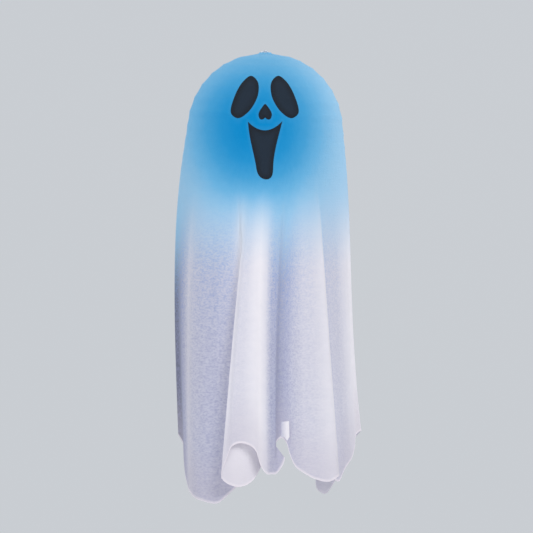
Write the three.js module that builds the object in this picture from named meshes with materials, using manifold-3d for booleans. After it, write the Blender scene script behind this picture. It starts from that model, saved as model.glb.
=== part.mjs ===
// Hanging ghost lantern: a round wire lantern in a sheer cloth ghost, lit by a battery light in its head.
// Millimetres, +Z up, the face looks along -Y. The origin is where the hanging eye bears on its hook.
import * as THREE from 'three';
import { mergeVertices } from 'three/addons/utils/BufferGeometryUtils.js';
import Module from 'manifold-3d';

const wasm = await Module();
wasm.setup();

// Clearances
const GAP = 0.3; // between pieces that touch or slide
const FACE_GAP = 0.4; // between the cloth and the face patches
const HOLE_GAP = 0.4; // between the hanging eye and the edge of the crown hole
const SKIN_GAP = 1.8; // the cloth rides over the lantern skin with a little slack
const WIRE_SLACK = 1.2; // between the lantern skin and the wire inside it
const SUNK = 0.5; // how far joined blocks reach into each other
const PAST = 1; // how far a cutting tool runs past what it cuts

// Cloth
const CLOTH_R = 105.3; // outer radius of the head
const CLOTH_DROP = 609; // from the hanging eye to the lowest point of the hem
const CLOTH_T = 1.0;
const CROWN_RISE = 2.8; // how far the cloth climbs from the top ring to the eye
const LEAVE_ANGLE = 83; // degrees from the crown where the cloth leaves the ball
const FLARE = 10; // how far the falling cloth spreads below the head
const FOLD_START = 68; // depth of the first folds below the middle of the head

// Lantern ball
const SKIN_T = 0.8;
const TOP_OPENING_R = 32;
const BOTTOM_OPENING_R = 45;
const RING_WIRE_R = 1.2;
const SPIRAL_WIRE_R = 0.8;
const SPIRAL_PITCH = 19; // measured along the skin
const SPIRAL_MARGIN = 14; // from an opening's edge to the spiral's first and last turn

// Expander wire
const EXPANDER_WIRE_R = 1.0;
const EYE_INNER_R = 4.8;
const EYE_NECK = 1.6; // from the middle to where each wire turns up into the eye
const EYE_CLOSE = 28; // degrees either side of the bottom where the eye stays open
const EYE_PROUD = 4.6; // how far the eye stands out of the cloth
const BEND_R = 3;
const FOOT_OUT = 2; // the foot's end past the middle of the bottom ring's wire
const FOOT_IN = 3.5; // the foot's bend inside the bottom ring
const LEG_OUT = 4; // the leg's upper bend past the top ring

// Battery light
const HOOK_SPACING = 28;
const HOOK_WIDTH = 5;
const HOOK_T = 1.9;
const HOOK_STEM = 1.3; // from the hook's round part to the case
const HOOK_LIP = 20; // degrees that the hook runs on below the wire's middle
const CASE_SIDE = 6.8; // beside the bay, for the door's edge and its hinge pins
const CASE_D = 16;
const CASE_WALL = 2.2;
const CASE_ROOF = 8;
const CASE_FLOOR = 4;
const CASE_CORNER_R = 4;
const CELL_R = 5.2;
const CELL_L = 44.5;
const CELL_EDGE = 0.4; // bevel of the cell's rims
const CELL_NUB_R = 2.7;
const CELL_NUB_H = 1.2;
const CELL_GAP = 1.0; // between neighbouring cells
const STRIP_ROOM = 1.6; // beside the outer cells, where the long contact strip runs
const CELL_RIB_T = 0.8; // the ribs on the bay's floor between the cells
const CELL_RIB_H = 2.2;
const CELL_RIB_MARGIN = 8;
const CONTACT_T = 0.4;
const CONTACT_MARGIN = 1.2; // from a contact plate's edge to half the cells' pitch
const TAB_W = 3.0;
const TAB_STAND = 0.8; // between the tab and the bay's front wall
const SPRING_H = 3.0;
const SPRING_R = 2.4;
const SPRING_TAPER = 0.25; // the share of its radius that the spring loses
const SPRING_WIRE_R = 0.3;
const SPRING_TURNS = 2.5;
const DOOR_T = 2.0;
const DOOR_TOP_MARGIN = 2.0;
const DOOR_LAP = 0.8; // the door's overlap at each side of the bay
const HINGE_DROP = 1.2; // from the bay's floor to the hinge
const THUMB_R = 6; // the hollow that a thumb opens the door by
const THUMB_W = 18;
const THUMB_DEPTH = 0.8;
const THUMB_DROP = 11; // from the door's screw to the thumb hollow
const DOOR_HINGE_PIN_R = 0.9;
const DOOR_PIN_L = 1.6;
const SCREW_R = 1.0;
const SCREW_HEAD_R = 2.3;
const SCREW_HEAD_H = 1.1;
const DOOR_SCREW_L = 6.5;
const DOOR_SCREW_DROP = 3.2; // from the door's upper edge to its screw
const BASE_SCREW_L = 5.0;
const BASE_SCREW_X = 5.7;
const BASE_SCREW_Y = 2.4;
const BASE_R = 23;
const BASE_WALL = 2.0;
const BASE_ROOF = 2.0;
const BASE_EDGE = 1.0; // bevel of the base's upper rim
const LEDGE_W = 1.5; // the ledge that the board bears on
const SWITCH_ROOM = 4.0; // height over the board for the switch
const BASE_LIP = 0.8; // the rim under the dome's flange
const LIP_T = 1.4;
const BOARD_T = 1.2;
const DOME_FLANGE_T = 1.5;
const DOME_WALL = 1.4;
const DOME_H = 21;
const DOME_NECK = 3; // the dome's straight neck below the rim
const LED_R = 2.5;
const LED_H = 8;
const LED_FLANGE = 0.4;
const LED_FLANGE_H = 1.0;
const LED_CIRCLE_R = 8;
const LED_COUNT = 3;
const SWITCH_W = 8.6;
const SWITCH_D = 3.4;
const SWITCH_SETBACK = 0.9; // from the ledge's inner edge to the switch
const KNOB_W = 3.0;
const KNOB_H = 2.0;
const KNOB_PROUD = 1.6;
const KNOB_TRAVEL = 3.0;
const KNOB_GROOVE_W = 0.5;
const KNOB_GROOVE_DEPTH = 0.4;

// Face, on the front of the head
const PATCH_T = 0.6;
const FACE_UNIT = CLOTH_R / 100; // the face's outlines are drawn in hundredths of the head's radius

// Derived places
const EYE_R = EYE_INNER_R + EXPANDER_WIRE_R; // to the middle of the wire
const EYE_Z = -EYE_INNER_R;
const CROWN_Z = 2 * EXPANDER_WIRE_R - EYE_PROUD;
const HEAD_Z = CROWN_Z - CROWN_RISE - Math.sqrt(CLOTH_R ** 2 - TOP_OPENING_R ** 2);
const HOLE_R = EYE_R + EXPANDER_WIRE_R + HOLE_GAP;
const SKIN_R = CLOTH_R - CLOTH_T - SKIN_GAP;
const RING_SPHERE_R = SKIN_R - SKIN_T - RING_WIRE_R - GAP;
const SPIRAL_SPHERE_R = SKIN_R - SKIN_T - SPIRAL_WIRE_R - WIRE_SLACK;
const TOP_RING_Z = HEAD_Z + Math.sqrt(RING_SPHERE_R ** 2 - TOP_OPENING_R ** 2);
const BOTTOM_RING_Z = HEAD_Z - Math.sqrt(RING_SPHERE_R ** 2 - BOTTOM_OPENING_R ** 2);
const BRIDGE_Z = TOP_RING_Z - RING_WIRE_R - EXPANDER_WIRE_R - GAP;
const FOOT_Z = BOTTOM_RING_Z + RING_WIRE_R + EXPANDER_WIRE_R + GAP;

const rad = THREE.MathUtils.degToRad;

// Solids

// A closed geometry as a solid: shared corners joined, empty triangles left out, faces turned outwards.
function toSolid(geometry) {
  const bare = geometry.index ? geometry.clone() : mergeVertices(geometry);
  bare.deleteAttribute('normal');
  bare.deleteAttribute('uv');
  const merged = mergeVertices(bare, 1e-4);
  const place = merged.attributes.position;
  const corners = [];
  let volume = 0;
  const [a, b, c] = [new THREE.Vector3(), new THREE.Vector3(), new THREE.Vector3()];
  for (let i = 0; i < merged.index.count; i += 3) {
    const [p, q, r] = [0, 1, 2].map((k) => merged.index.getX(i + k));
    if (p === q || q === r || r === p) continue;
    corners.push(p, q, r);
    a.fromBufferAttribute(place, p);
    b.fromBufferAttribute(place, q);
    c.fromBufferAttribute(place, r);
    volume += a.dot(b.cross(c));
  }
  if (volume < 0) {
    for (let i = 0; i < corners.length; i += 3) [corners[i], corners[i + 1]] = [corners[i + 1], corners[i]];
  }
  return new wasm.Manifold(new wasm.Mesh({
    numProp: 3,
    vertProperties: new Float32Array(place.array),
    triVerts: new Uint32Array(corners),
  }));
}

function toGeometry(solid) {
  const mesh = solid.getMesh();
  const geometry = new THREE.BufferGeometry();
  geometry.setAttribute('position', new THREE.BufferAttribute(new Float32Array(mesh.vertProperties), 3));
  geometry.setIndex(new THREE.BufferAttribute(new Uint32Array(mesh.triVerts), 1));
  geometry.computeVertexNormals();
  return geometry;
}

function join(...solids) {
  return solids.reduce((whole, piece) => whole.add(piece));
}

function cut(body, ...tools) {
  return tools.reduce((left, tool) => left.subtract(tool), body);
}

// A block by its low and high corner.
function block(low, high) {
  const size = high.map((value, axis) => value - low[axis]);
  const geometry = new THREE.BoxGeometry(...size);
  geometry.translate(...low.map((value, axis) => value + size[axis] / 2));
  return toSolid(geometry);
}

// A turned piece: the profile is a list of [radius, height] pairs.
function turned(profile, segments) {
  const points = profile.map(([radius, height]) => new THREE.Vector2(radius, height));
  return toSolid(new THREE.LatheGeometry(points, segments).rotateX(Math.PI / 2));
}

// A turned piece whose profile closes on itself away from the axis.
function turnedRing(profile, segments) {
  return turned([...profile, profile[0]], segments);
}

// A round bar along one axis, from one coordinate to another.
function bar(axis, radius, from, to, [p, q], segments = 20) {
  const geometry = new THREE.CylinderGeometry(radius, radius, Math.abs(to - from), segments);
  const middle = (from + to) / 2;
  if (axis === 'x') geometry.rotateZ(Math.PI / 2).translate(middle, p, q);
  if (axis === 'y') geometry.translate(p, middle, q);
  if (axis === 'z') geometry.rotateX(Math.PI / 2).translate(p, q, middle);
  return toSolid(geometry);
}

function extruded(shape, depth, curveSegments) {
  return new THREE.ExtrudeGeometry(shape, { depth, bevelEnabled: false, curveSegments });
}

// A flat outline in the XY plane, raised from one height to another.
function raised(shape, from, to, curveSegments = 8) {
  return toSolid(extruded(shape, to - from, curveSegments).translate(0, 0, from));
}

function roundedRectangle(width, depth, radius) {
  const [x, y] = [width / 2, depth / 2];
  const shape = new THREE.Shape();
  shape.moveTo(x - radius, -y);
  shape.absarc(x - radius, radius - y, radius, -Math.PI / 2, 0);
  shape.absarc(x - radius, y - radius, radius, 0, Math.PI / 2);
  shape.absarc(radius - x, y - radius, radius, Math.PI / 2, Math.PI);
  shape.absarc(radius - x, radius - y, radius, Math.PI, 1.5 * Math.PI);
  return shape;
}

// A wire's middle line, kept at the stations it is given, so that straight runs need no steps of their own.
class WirePath extends THREE.Curve {
  constructor(stations) {
    super();
    this.stations = stations;
  }

  getPoint(t, target = new THREE.Vector3()) {
    const place = t * (this.stations.length - 1);
    const first = Math.min(Math.floor(place + 1e-9), this.stations.length - 2);
    return target.lerpVectors(this.stations[first], this.stations[first + 1], place - first);
  }

  getPointAt(t, target) {
    return this.getPoint(t, target);
  }

  getTangentAt(t, target = new THREE.Vector3()) {
    const last = this.stations.length - 1;
    const here = Math.round(t * last);
    const before = this.stations[Math.max(here - 1, 0)];
    const after = this.stations[Math.min(here + 1, last)];
    const [into, out] = [this.stations[here].clone().sub(before), after.clone().sub(this.stations[here])];
    return target.copy(into.normalize()).add(out.normalize()).normalize();
  }
}

function wire(stations, radius, sides) {
  const section = new THREE.Shape();
  for (let side = 0; side < sides; side++) {
    const angle = (2 * Math.PI * side) / sides;
    const [x, y] = [radius * Math.cos(angle), radius * Math.sin(angle)];
    if (side === 0) section.moveTo(x, y);
    else section.lineTo(x, y);
  }
  section.closePath();
  const geometry = new THREE.ExtrudeGeometry(section, {
    steps: stations.length - 1,
    extrudePath: new WirePath(stations),
    curveSegments: 1,
  });
  return toSolid(geometry);
}

// Stations along corners in the XZ plane, each corner rounded to the bend radius.
function rounded(corners, radius, steps) {
  const points = corners.map(([x, z]) => new THREE.Vector3(x, 0, z));
  const stations = [points[0]];
  for (let i = 1; i < points.length - 1; i++) {
    const back = points[i - 1].clone().sub(points[i]);
    const ahead = points[i + 1].clone().sub(points[i]);
    const wanted = radius / Math.tan(back.angleTo(ahead) / 2);
    const reach = Math.min(wanted, 0.45 * back.length(), 0.45 * ahead.length());
    const from = back.setLength(reach).add(points[i]);
    const to = ahead.setLength(reach).add(points[i]);
    stations.push(...new THREE.QuadraticBezierCurve3(from, points[i], to).getPoints(steps));
  }
  return [...stations, points.at(-1)];
}

// The least distance from a wire's surface to the same wire's next turn, measured on its stations.
function leastGapToItself(stations, radius, stationsPerTurn) {
  let least = Infinity;
  for (let i = 0; i < stations.length; i++) {
    for (let j = i + Math.floor(stationsPerTurn / 2); j < stations.length; j++) {
      least = Math.min(least, stations[i].distanceTo(stations[j]));
    }
  }
  return least - 2 * radius;
}

// Cloth

// The hem, a closed curve through these points, clockwise seen from below, beginning at the left side.
// Each has the bearing on the head that its cloth comes from and the bearing it hangs at, in degrees from
// the front, and how far out and how far down it hangs, in hundredths of the head's radius and of the
// whole drop. early says how soon that fold reaches its full depth on the way down: 0.5 is even.
const HEM = [
  { name: 'left side fold', from: -92, at: -92.8, out: 115.1, down: 85.4, early: 0.85 },
  { name: 'left tuck', from: -76, at: -73.8, out: 101.9, down: 87, early: 0.75 },
  { name: 'left front edge', from: -60, at: -64.1, out: 117.2, down: 92.3, early: 0.75 },
  { name: 'big lobe, left', from: -47, at: -53.7, out: 115.5, down: 98.2, early: 0.75 },
  { name: 'big lobe, bottom', from: -32, at: -37.1, out: 107.1, down: 100, early: 0.75 },
  { name: 'big lobe, right', from: -20, at: -21, out: 95.6, down: 96.6, early: 0.75 },
  { name: 'turn behind the flap', from: -12, at: -4.9, out: 88.6, down: 92.9, early: 0.75 },
  { name: 'back of the flap', from: -9, at: -17.9, out: 104.8, down: 96.2, early: 0.75 },
  { name: 'edge of the flap', from: -6, at: -27.4, out: 121.9, down: 94.3, early: 0.75 },
  { name: 'front of the flap', from: -2, at: -16.8, out: 125, down: 87, early: 0.75 },
  { name: 'right of the flap', from: 4, at: -4.6, out: 117.2, down: 90, early: 0.75 },
  { name: 'small lobe', from: 10, at: 6.2, out: 105.1, down: 93.4, early: 0.75 },
  { name: 'notch', from: 15, at: 15.3, out: 97.5, down: 86, early: 0.75 },
  { name: 'wide lobe, left', from: 20, at: 24.8, out: 113, down: 92.9, early: 0.75 },
  { name: 'wide lobe, bottom', from: 26, at: 37, out: 126.1, down: 95.6, early: 0.75 },
  { name: 'right front ridge', from: 33, at: 48.7, out: 126.5, down: 94.1, early: 0.75 },
  { name: 'right valley', from: 46, at: 58.1, out: 115.2, down: 94.9, early: 0.75 },
  { name: 'right panel', from: 63, at: 72.1, out: 117.7, down: 90, early: 0.5 },
  { name: 'right side fold', from: 84, at: 88.2, out: 122.6, down: 84.4, early: 0.2 },
  { name: 'back right valley', from: 105, at: 106.7, out: 106.1, down: 87.4, early: 0.6 },
  { name: 'back right lobe', from: 126, at: 133, out: 114.2, down: 97.9, early: 0.6 },
  { name: 'back valley', from: 148, at: 149.4, out: 97.1, down: 91.3, early: 0.6 },
  { name: 'back ridge', from: 167, at: 166.7, out: 115.2, down: 84.1, early: 0.6 },
  { name: 'back middle', from: 183, at: 184.6, out: 95.3, down: 83.1, early: 0.6 },
  { name: 'back left ridge', from: 201, at: 201.6, out: 118.5, down: 89, early: 0.6 },
  { name: 'back left lobe', from: 221, at: 222.2, out: 110.3, down: 93.9, early: 0.6 },
  { name: 'back left fold', from: 240, at: 239.3, out: 119.2, down: 88.7, early: 0.6 },
  { name: 'back left tuck', from: 254, at: -107.1, out: 103.3, down: 85.7, early: 0.7 },
];
const COLUMNS_PER_POINT = 2;
const DOME_ROWS = 5;
const FALL_STEPS = [0, 0.15, 0.36, 0.66, 1]; // the cloth's rows below the fold start, as parts of the fall

// A place at a bearing from the front, a radius and a height.
function around(bearing, radius, z) {
  return new THREE.Vector3(radius * Math.sin(bearing), -radius * Math.cos(bearing), z);
}

// The radius of the cloth, before folds, at a depth below the point where it leaves the ball.
function fallRadius(depth) {
  const leaveRadius = CLOTH_R * Math.sin(rad(LEAVE_ANGLE));
  const slope = 1 / Math.tan(rad(LEAVE_ANGLE));
  return leaveRadius + FLARE * (1 - Math.exp((-slope * depth) / FLARE));
}

const LEAVE_Z = HEAD_Z + CLOTH_R * Math.cos(rad(LEAVE_ANGLE));
const FOLD_Z = HEAD_Z - FOLD_START;

// How far a fold has grown at a part of its fall.
function foldGrowth(part, early) {
  return part / ((1 / early - 2) * (1 - part) + 1);
}

// Columns of cloth: the hem point of each, the bearing it comes from, and how soon it folds.
function clothColumns() {
  const hangs = HEM.map(({ at, out, down }) => (
    around(rad(at), (out / 100) * CLOTH_R, (-down / 100) * CLOTH_DROP)));
  const hem = new THREE.CatmullRomCurve3(hangs, true, 'centripetal');
  const columns = [];
  HEM.forEach((point, index) => {
    const next = HEM[(index + 1) % HEM.length];
    const turn = (next.from - point.from + 720) % 360;
    for (let step = 0; step < COLUMNS_PER_POINT; step++) {
      const part = step / COLUMNS_PER_POINT;
      columns.push({
        end: hem.getPoint((index + part) / HEM.length),
        bearing: rad(point.from + part * turn),
        early: point.early + part * (next.early - point.early),
      });
    }
  });
  return columns;
}

// One column of the cloth's outer surface, from the crown hole to the hem.
function clothLine({ end, bearing, early }) {
  const line = [around(bearing, HOLE_R, CROWN_Z)];
  const first = Math.asin(TOP_OPENING_R / CLOTH_R);
  for (let row = 0; row < DOME_ROWS; row++) {
    const angle = first + ((rad(LEAVE_ANGLE) - first) * row) / (DOME_ROWS - 1);
    line.push(around(bearing, CLOTH_R * Math.sin(angle), HEAD_Z + CLOTH_R * Math.cos(angle)));
  }
  for (const part of FALL_STEPS) {
    const z = FOLD_Z + part * (end.z - FOLD_Z);
    const growth = foldGrowth(part, early);
    const place = around(bearing, fallRadius(LEAVE_Z - z), z);
    line.push(place.lerp(new THREE.Vector3(end.x, end.y, z), growth));
  }
  return line;
}

// A closed skin round a grid of points that runs round an axis: outer face, inner face, and both rims.
function skin(lines, thickness) {
  const [columns, rows] = [lines.length, lines[0].length];
  const at = (i, j) => lines[(i + columns) % columns][Math.min(Math.max(j, 0), rows - 1)];
  const outer = [];
  const inner = [];
  for (let i = 0; i < columns; i++) {
    for (let j = 0; j < rows; j++) {
      const across = at(i + 1, j).clone().sub(at(i - 1, j));
      const along = at(i, j + 1).clone().sub(at(i, j - 1));
      const inward = across.cross(along).normalize();
      outer.push(...at(i, j).toArray());
      inner.push(...at(i, j).clone().addScaledVector(inward, thickness).toArray());
    }
  }
  const index = [];
  const half = columns * rows;
  const quad = (a, b, c, d) => index.push(a, b, c, a, c, d);
  for (let i = 0; i < columns; i++) {
    const [here, next] = [i * rows, ((i + 1) % columns) * rows];
    for (let j = 0; j < rows - 1; j++) {
      quad(here + j, here + j + 1, next + j + 1, next + j);
      quad(half + here + j, half + next + j, half + next + j + 1, half + here + j + 1);
    }
    quad(here, next, half + next, half + here);
    const last = rows - 1;
    quad(here + last, half + here + last, half + next + last, next + last);
  }
  const geometry = new THREE.BufferGeometry();
  geometry.setAttribute('position', new THREE.BufferAttribute(new Float32Array([...outer, ...inner]), 3));
  geometry.setIndex(index);
  return toSolid(geometry);
}

function shroud() {
  return skin(clothColumns().map(clothLine), CLOTH_T);
}

// Face patches

// A full turn of cloth just outside the ghost's own, that the patches are cut from.
function patchStock() {
  const [crownAngle, angleStep, heightStep] = [20, 4, 8];
  const profile = (offset) => {
    const points = [];
    for (let angle = crownAngle; angle < LEAVE_ANGLE; angle += angleStep) {
      const radius = CLOTH_R + offset;
      points.push([radius * Math.sin(rad(angle)), HEAD_Z + radius * Math.cos(rad(angle))]);
    }
    for (let z = LEAVE_Z; z > FOLD_Z - heightStep; z -= heightStep) {
      points.push([fallRadius(LEAVE_Z - z) + offset, z]);
    }
    return points;
  };
  return turnedRing([...profile(FACE_GAP + PATCH_T), ...profile(FACE_GAP).reverse()], 80);
}

// A patch with this outline, drawn as seen from the front, in face units from the middle of the head.
function patch(shape, curveSegments) {
  const geometry = extruded(shape, 1.5 * CLOTH_R, curveSegments);
  geometry.scale(FACE_UNIT, FACE_UNIT, 1).rotateX(Math.PI / 2).translate(0, 0, HEAD_Z);
  return toSolid(geometry).intersect(PATCH_STOCK);
}

function smoothOutline(points) {
  const corners = points.map(([x, z]) => new THREE.Vector3(x, z, 0));
  const curve = new THREE.CatmullRomCurve3(corners, true, 'centripetal');
  const loop = curve.getPoints(3 * points.length).slice(0, -1);
  return new THREE.Shape(loop.map(({ x, y }) => new THREE.Vector2(x, y)));
}

// side is -1 for the eye on the left of the picture and 1 for the other.
function eyePatch(side) {
  const outline = [[18, 69.1], [9.1, 61.2], [9.8, 44.4], [20.9, 25], [35.5, 15.8], [43.9, 22.4],
    [38.9, 43.1], [27.8, 61.9]];
  return patch(smoothOutline(outline.map(([x, z]) => [side * x, z])));
}

function nosePatch() {
  const right = [[3.4, 28.9], [8.5, 19.5], [6.3, 12.9], [2.3, 12.9]];
  const left = right.map(([x, z]) => [-x, z]).reverse();
  return patch(smoothOutline([[0, 32.3], ...right, [0, 14.8], ...left]));
}

function mouthPatch() {
  const shape = new THREE.Shape();
  shape.moveTo(-21.9, 9.6);
  shape.quadraticCurveTo(0, -12.7, 21.9, 10.4);
  shape.bezierCurveTo(17.1, -9.5, 10.8, -28.5, 10.2, -48.4);
  shape.bezierCurveTo(10.1, -57.9, 8.7, -64, 1.1, -64);
  shape.bezierCurveTo(-6.6, -63.2, -10.3, -57.9, -11.4, -48.6);
  shape.bezierCurveTo(-13.8, -32.3, -20.4, -13.3, -21.9, 9.6);
  return patch(shape, 7);
}

// Lantern ball

const TOP_ANGLE = Math.asin(TOP_OPENING_R / RING_SPHERE_R);
const BOTTOM_ANGLE = Math.PI - Math.asin(BOTTOM_OPENING_R / RING_SPHERE_R);

function lanternSkin() {
  const rows = 9;
  const arc = (radius) => Array.from({ length: rows + 1 }, (_, row) => {
    const angle = TOP_ANGLE + ((BOTTOM_ANGLE - TOP_ANGLE) * row) / rows;
    return [radius * Math.sin(angle), HEAD_Z + radius * Math.cos(angle)];
  });
  return turnedRing([...arc(SKIN_R), ...arc(SKIN_R - SKIN_T).reverse()], 40);
}

function ring(radius, z) {
  return toSolid(new THREE.TorusGeometry(radius, RING_WIRE_R, 6, 40).translate(0, 0, z));
}

function spiralWire() {
  const stationsPerTurn = 20;
  const first = TOP_ANGLE + SPIRAL_MARGIN / SPIRAL_SPHERE_R;
  const last = BOTTOM_ANGLE - SPIRAL_MARGIN / SPIRAL_SPHERE_R;
  const turns = ((last - first) * SPIRAL_SPHERE_R) / SPIRAL_PITCH;
  const count = Math.round(turns * stationsPerTurn);
  const stations = Array.from({ length: count + 1 }, (_, i) => {
    const angle = first + ((last - first) * i) / count;
    const turn = (2 * Math.PI * turns * i) / count;
    const radius = SPIRAL_SPHERE_R * Math.sin(angle);
    const height = HEAD_Z + SPIRAL_SPHERE_R * Math.cos(angle);
    return new THREE.Vector3(radius * Math.cos(turn), radius * Math.sin(turn), height);
  });
  const gap = leastGapToItself(stations, SPIRAL_WIRE_R, stationsPerTurn);
  console.log(`spiral wire: ${turns.toFixed(1)} turns, least gap between turns ${gap.toFixed(2)} mm`);
  return wire(stations, SPIRAL_WIRE_R, 5);
}

// One bent wire: a foot over the bottom ring, a leg, a bridge under the top ring, the eye, and back down.
function expander() {
  const half = rounded([
    [BOTTOM_OPENING_R + FOOT_OUT, FOOT_Z],
    [BOTTOM_OPENING_R - FOOT_IN, FOOT_Z],
    [TOP_OPENING_R + LEG_OUT, BRIDGE_Z],
    [EYE_NECK, BRIDGE_Z],
    [EYE_R * Math.sin(rad(EYE_CLOSE)), EYE_Z - EYE_R * Math.cos(rad(EYE_CLOSE))],
  ], BEND_R, 4);
  const eye = [];
  const steps = 14;
  for (let i = 1; i < steps; i++) {
    const angle = rad(EYE_CLOSE + ((360 - 2 * EYE_CLOSE) * i) / steps);
    eye.push(new THREE.Vector3(EYE_R * Math.sin(angle), 0, EYE_Z - EYE_R * Math.cos(angle)));
  }
  const otherHalf = half.map(({ x, z }) => new THREE.Vector3(-x, 0, z)).reverse();
  return wire([...half, ...eye, ...otherHalf], EXPANDER_WIRE_R, 8);
}

// Battery light, measured from the bridge that it hangs on

const HOOK_INNER_R = EXPANDER_WIRE_R + GAP;
const HOOK_R = HOOK_INNER_R + HOOK_T;
const CASE_TOP = -HOOK_R - HOOK_STEM;
const BAY_TOP = CASE_TOP - CASE_ROOF;
const BAY_BOTTOM = BAY_TOP - CELL_L - SPRING_H - 2 * CONTACT_T - 4 * GAP;
const CASE_BOTTOM = BAY_BOTTOM - CASE_FLOOR;
const CELL_PITCH = 2 * CELL_R + CELL_GAP;
const BAY_HALF_W = CELL_PITCH + CELL_R + STRIP_ROOM;
const CASE_W = 2 * (BAY_HALF_W + CASE_SIDE);
const BAY_FRONT = CASE_WALL - CASE_D / 2;
const CELL_Y = BAY_FRONT + GAP + CELL_R;
const DOOR_HALF_W = BAY_HALF_W + DOOR_LAP;
const DOOR_TOP = CASE_TOP - DOOR_TOP_MARGIN;
const DOOR_INNER = CASE_D / 2 - DOOR_T;
const HINGE_Y = CASE_D / 2 - DOOR_T / 2;
const HINGE_Z = BAY_BOTTOM - HINGE_DROP;
const DOOR_SCREW_Z = DOOR_TOP - DOOR_SCREW_DROP;
const TAB_Y = BAY_FRONT + TAB_STAND;
const TAB_HALF_W = TAB_W / 2;
const STRIP_X = BAY_HALF_W - GAP - CONTACT_T;
const CELL_X = [-CELL_PITCH, 0, CELL_PITCH];
const CELL_UP = [true, false, true]; // the cells are in series, so the middle one stands on its head
const SCREW_HOLE_R = SCREW_R + GAP;

const BASE_TOP = CASE_BOTTOM;
const BORE_R = BASE_R - BASE_WALL;
const BOARD_R = BORE_R - GAP;
const LEDGE_R = BORE_R - LEDGE_W;
const LEDGE_Z = BASE_TOP - BASE_ROOF - SWITCH_ROOM;
const BOARD_TOP = LEDGE_Z - GAP;
const BOARD_BOTTOM = BOARD_TOP - BOARD_T;
const FLANGE_TOP = BOARD_BOTTOM - GAP;
const FLANGE_BOTTOM = FLANGE_TOP - DOME_FLANGE_T;
const LIP_TOP = FLANGE_BOTTOM - GAP;
const BASE_BOTTOM = LIP_TOP - LIP_T;
const LIP_R = BORE_R - BASE_LIP;
const DOME_R = LIP_R - GAP;
const SWITCH_FRONT = SWITCH_SETBACK - LEDGE_R;
const KNOB_Z = BOARD_TOP + GAP + KNOB_H;

// A hook over the bridge: a stem at the front, round over the top, open below at the back.
function hook(x) {
  const opening = rad(HOOK_LIP);
  const shape = new THREE.Shape();
  const foot = CASE_TOP - SUNK;
  shape.moveTo(-HOOK_R, foot);
  shape.lineTo(-HOOK_R, 0);
  shape.absarc(0, 0, HOOK_R, Math.PI, -opening, true);
  shape.lineTo(HOOK_INNER_R * Math.cos(opening), -HOOK_INNER_R * Math.sin(opening));
  shape.absarc(0, 0, HOOK_INNER_R, -opening, Math.PI, false);
  shape.lineTo(-HOOK_INNER_R, foot);
  const geometry = extruded(shape, HOOK_WIDTH, 8);
  geometry.rotateY(Math.PI / 2).rotateX(Math.PI / 2).translate(x - HOOK_WIDTH / 2, 0, 0);
  return toSolid(geometry);
}

function lampCase() {
  const shell = raised(roundedRectangle(CASE_W, CASE_D, CASE_CORNER_R), CASE_BOTTOM, CASE_TOP, 5);
  const back = CASE_D / 2 + PAST;
  const bay = block([-BAY_HALF_W, BAY_FRONT, BAY_BOTTOM], [BAY_HALF_W, back, BAY_TOP]);
  const recessHalf = DOOR_HALF_W + GAP;
  const recessBottom = HINGE_Z - DOOR_T / 2 - GAP;
  const recess = block([-recessHalf, DOOR_INNER - GAP, recessBottom], [recessHalf, back, DOOR_TOP + GAP]);
  const pinReach = DOOR_HALF_W + DOOR_PIN_L + GAP;
  const pinHole = bar('x', DOOR_HINGE_PIN_R + GAP, -pinReach, pinReach, [HINGE_Y, HINGE_Z], 12);
  const doorScrewEnd = CASE_D / 2 - DOOR_SCREW_L - PAST;
  const doorScrewHole = bar('y', SCREW_HOLE_R, doorScrewEnd, back, [0, DOOR_SCREW_Z], 16);
  const baseScrewTop = BASE_TOP - BASE_ROOF + BASE_SCREW_L;
  const baseScrewHoles = [-1, 1].map((side) => (
    bar('z', SCREW_HOLE_R, CASE_BOTTOM - PAST, baseScrewTop, [side * BASE_SCREW_X, BASE_SCREW_Y], 12)));
  const ribs = [-1, 1].map((side) => {
    const x = (side * CELL_PITCH) / 2;
    const low = [x - CELL_RIB_T / 2, BAY_FRONT - SUNK, BAY_BOTTOM + CELL_RIB_MARGIN];
    return block(low, [x + CELL_RIB_T / 2, BAY_FRONT + CELL_RIB_H, BAY_TOP - CELL_RIB_MARGIN]);
  });
  const hooks = [-1, 1].map((side) => hook((side * HOOK_SPACING) / 2));
  const hollow = cut(shell, bay, recess, pinHole, doorScrewHole, ...baseScrewHoles);
  return cut(join(hollow, ...ribs, ...hooks), ...leadSlots(CASE_BOTTOM - PAST, BAY_BOTTOM + PAST));
}

// The slots that the two outer contacts pass down through to the board.
function leadSlots(low, high) {
  const tabX = CELL_X[0];
  const half = TAB_HALF_W + GAP;
  return [
    block([tabX - half, TAB_Y - GAP, low], [tabX + half, TAB_Y + CONTACT_T + GAP, high]),
    block([STRIP_X - GAP, CELL_Y - half, low], [BAY_HALF_W, CELL_Y + half, high]),
  ];
}

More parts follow.
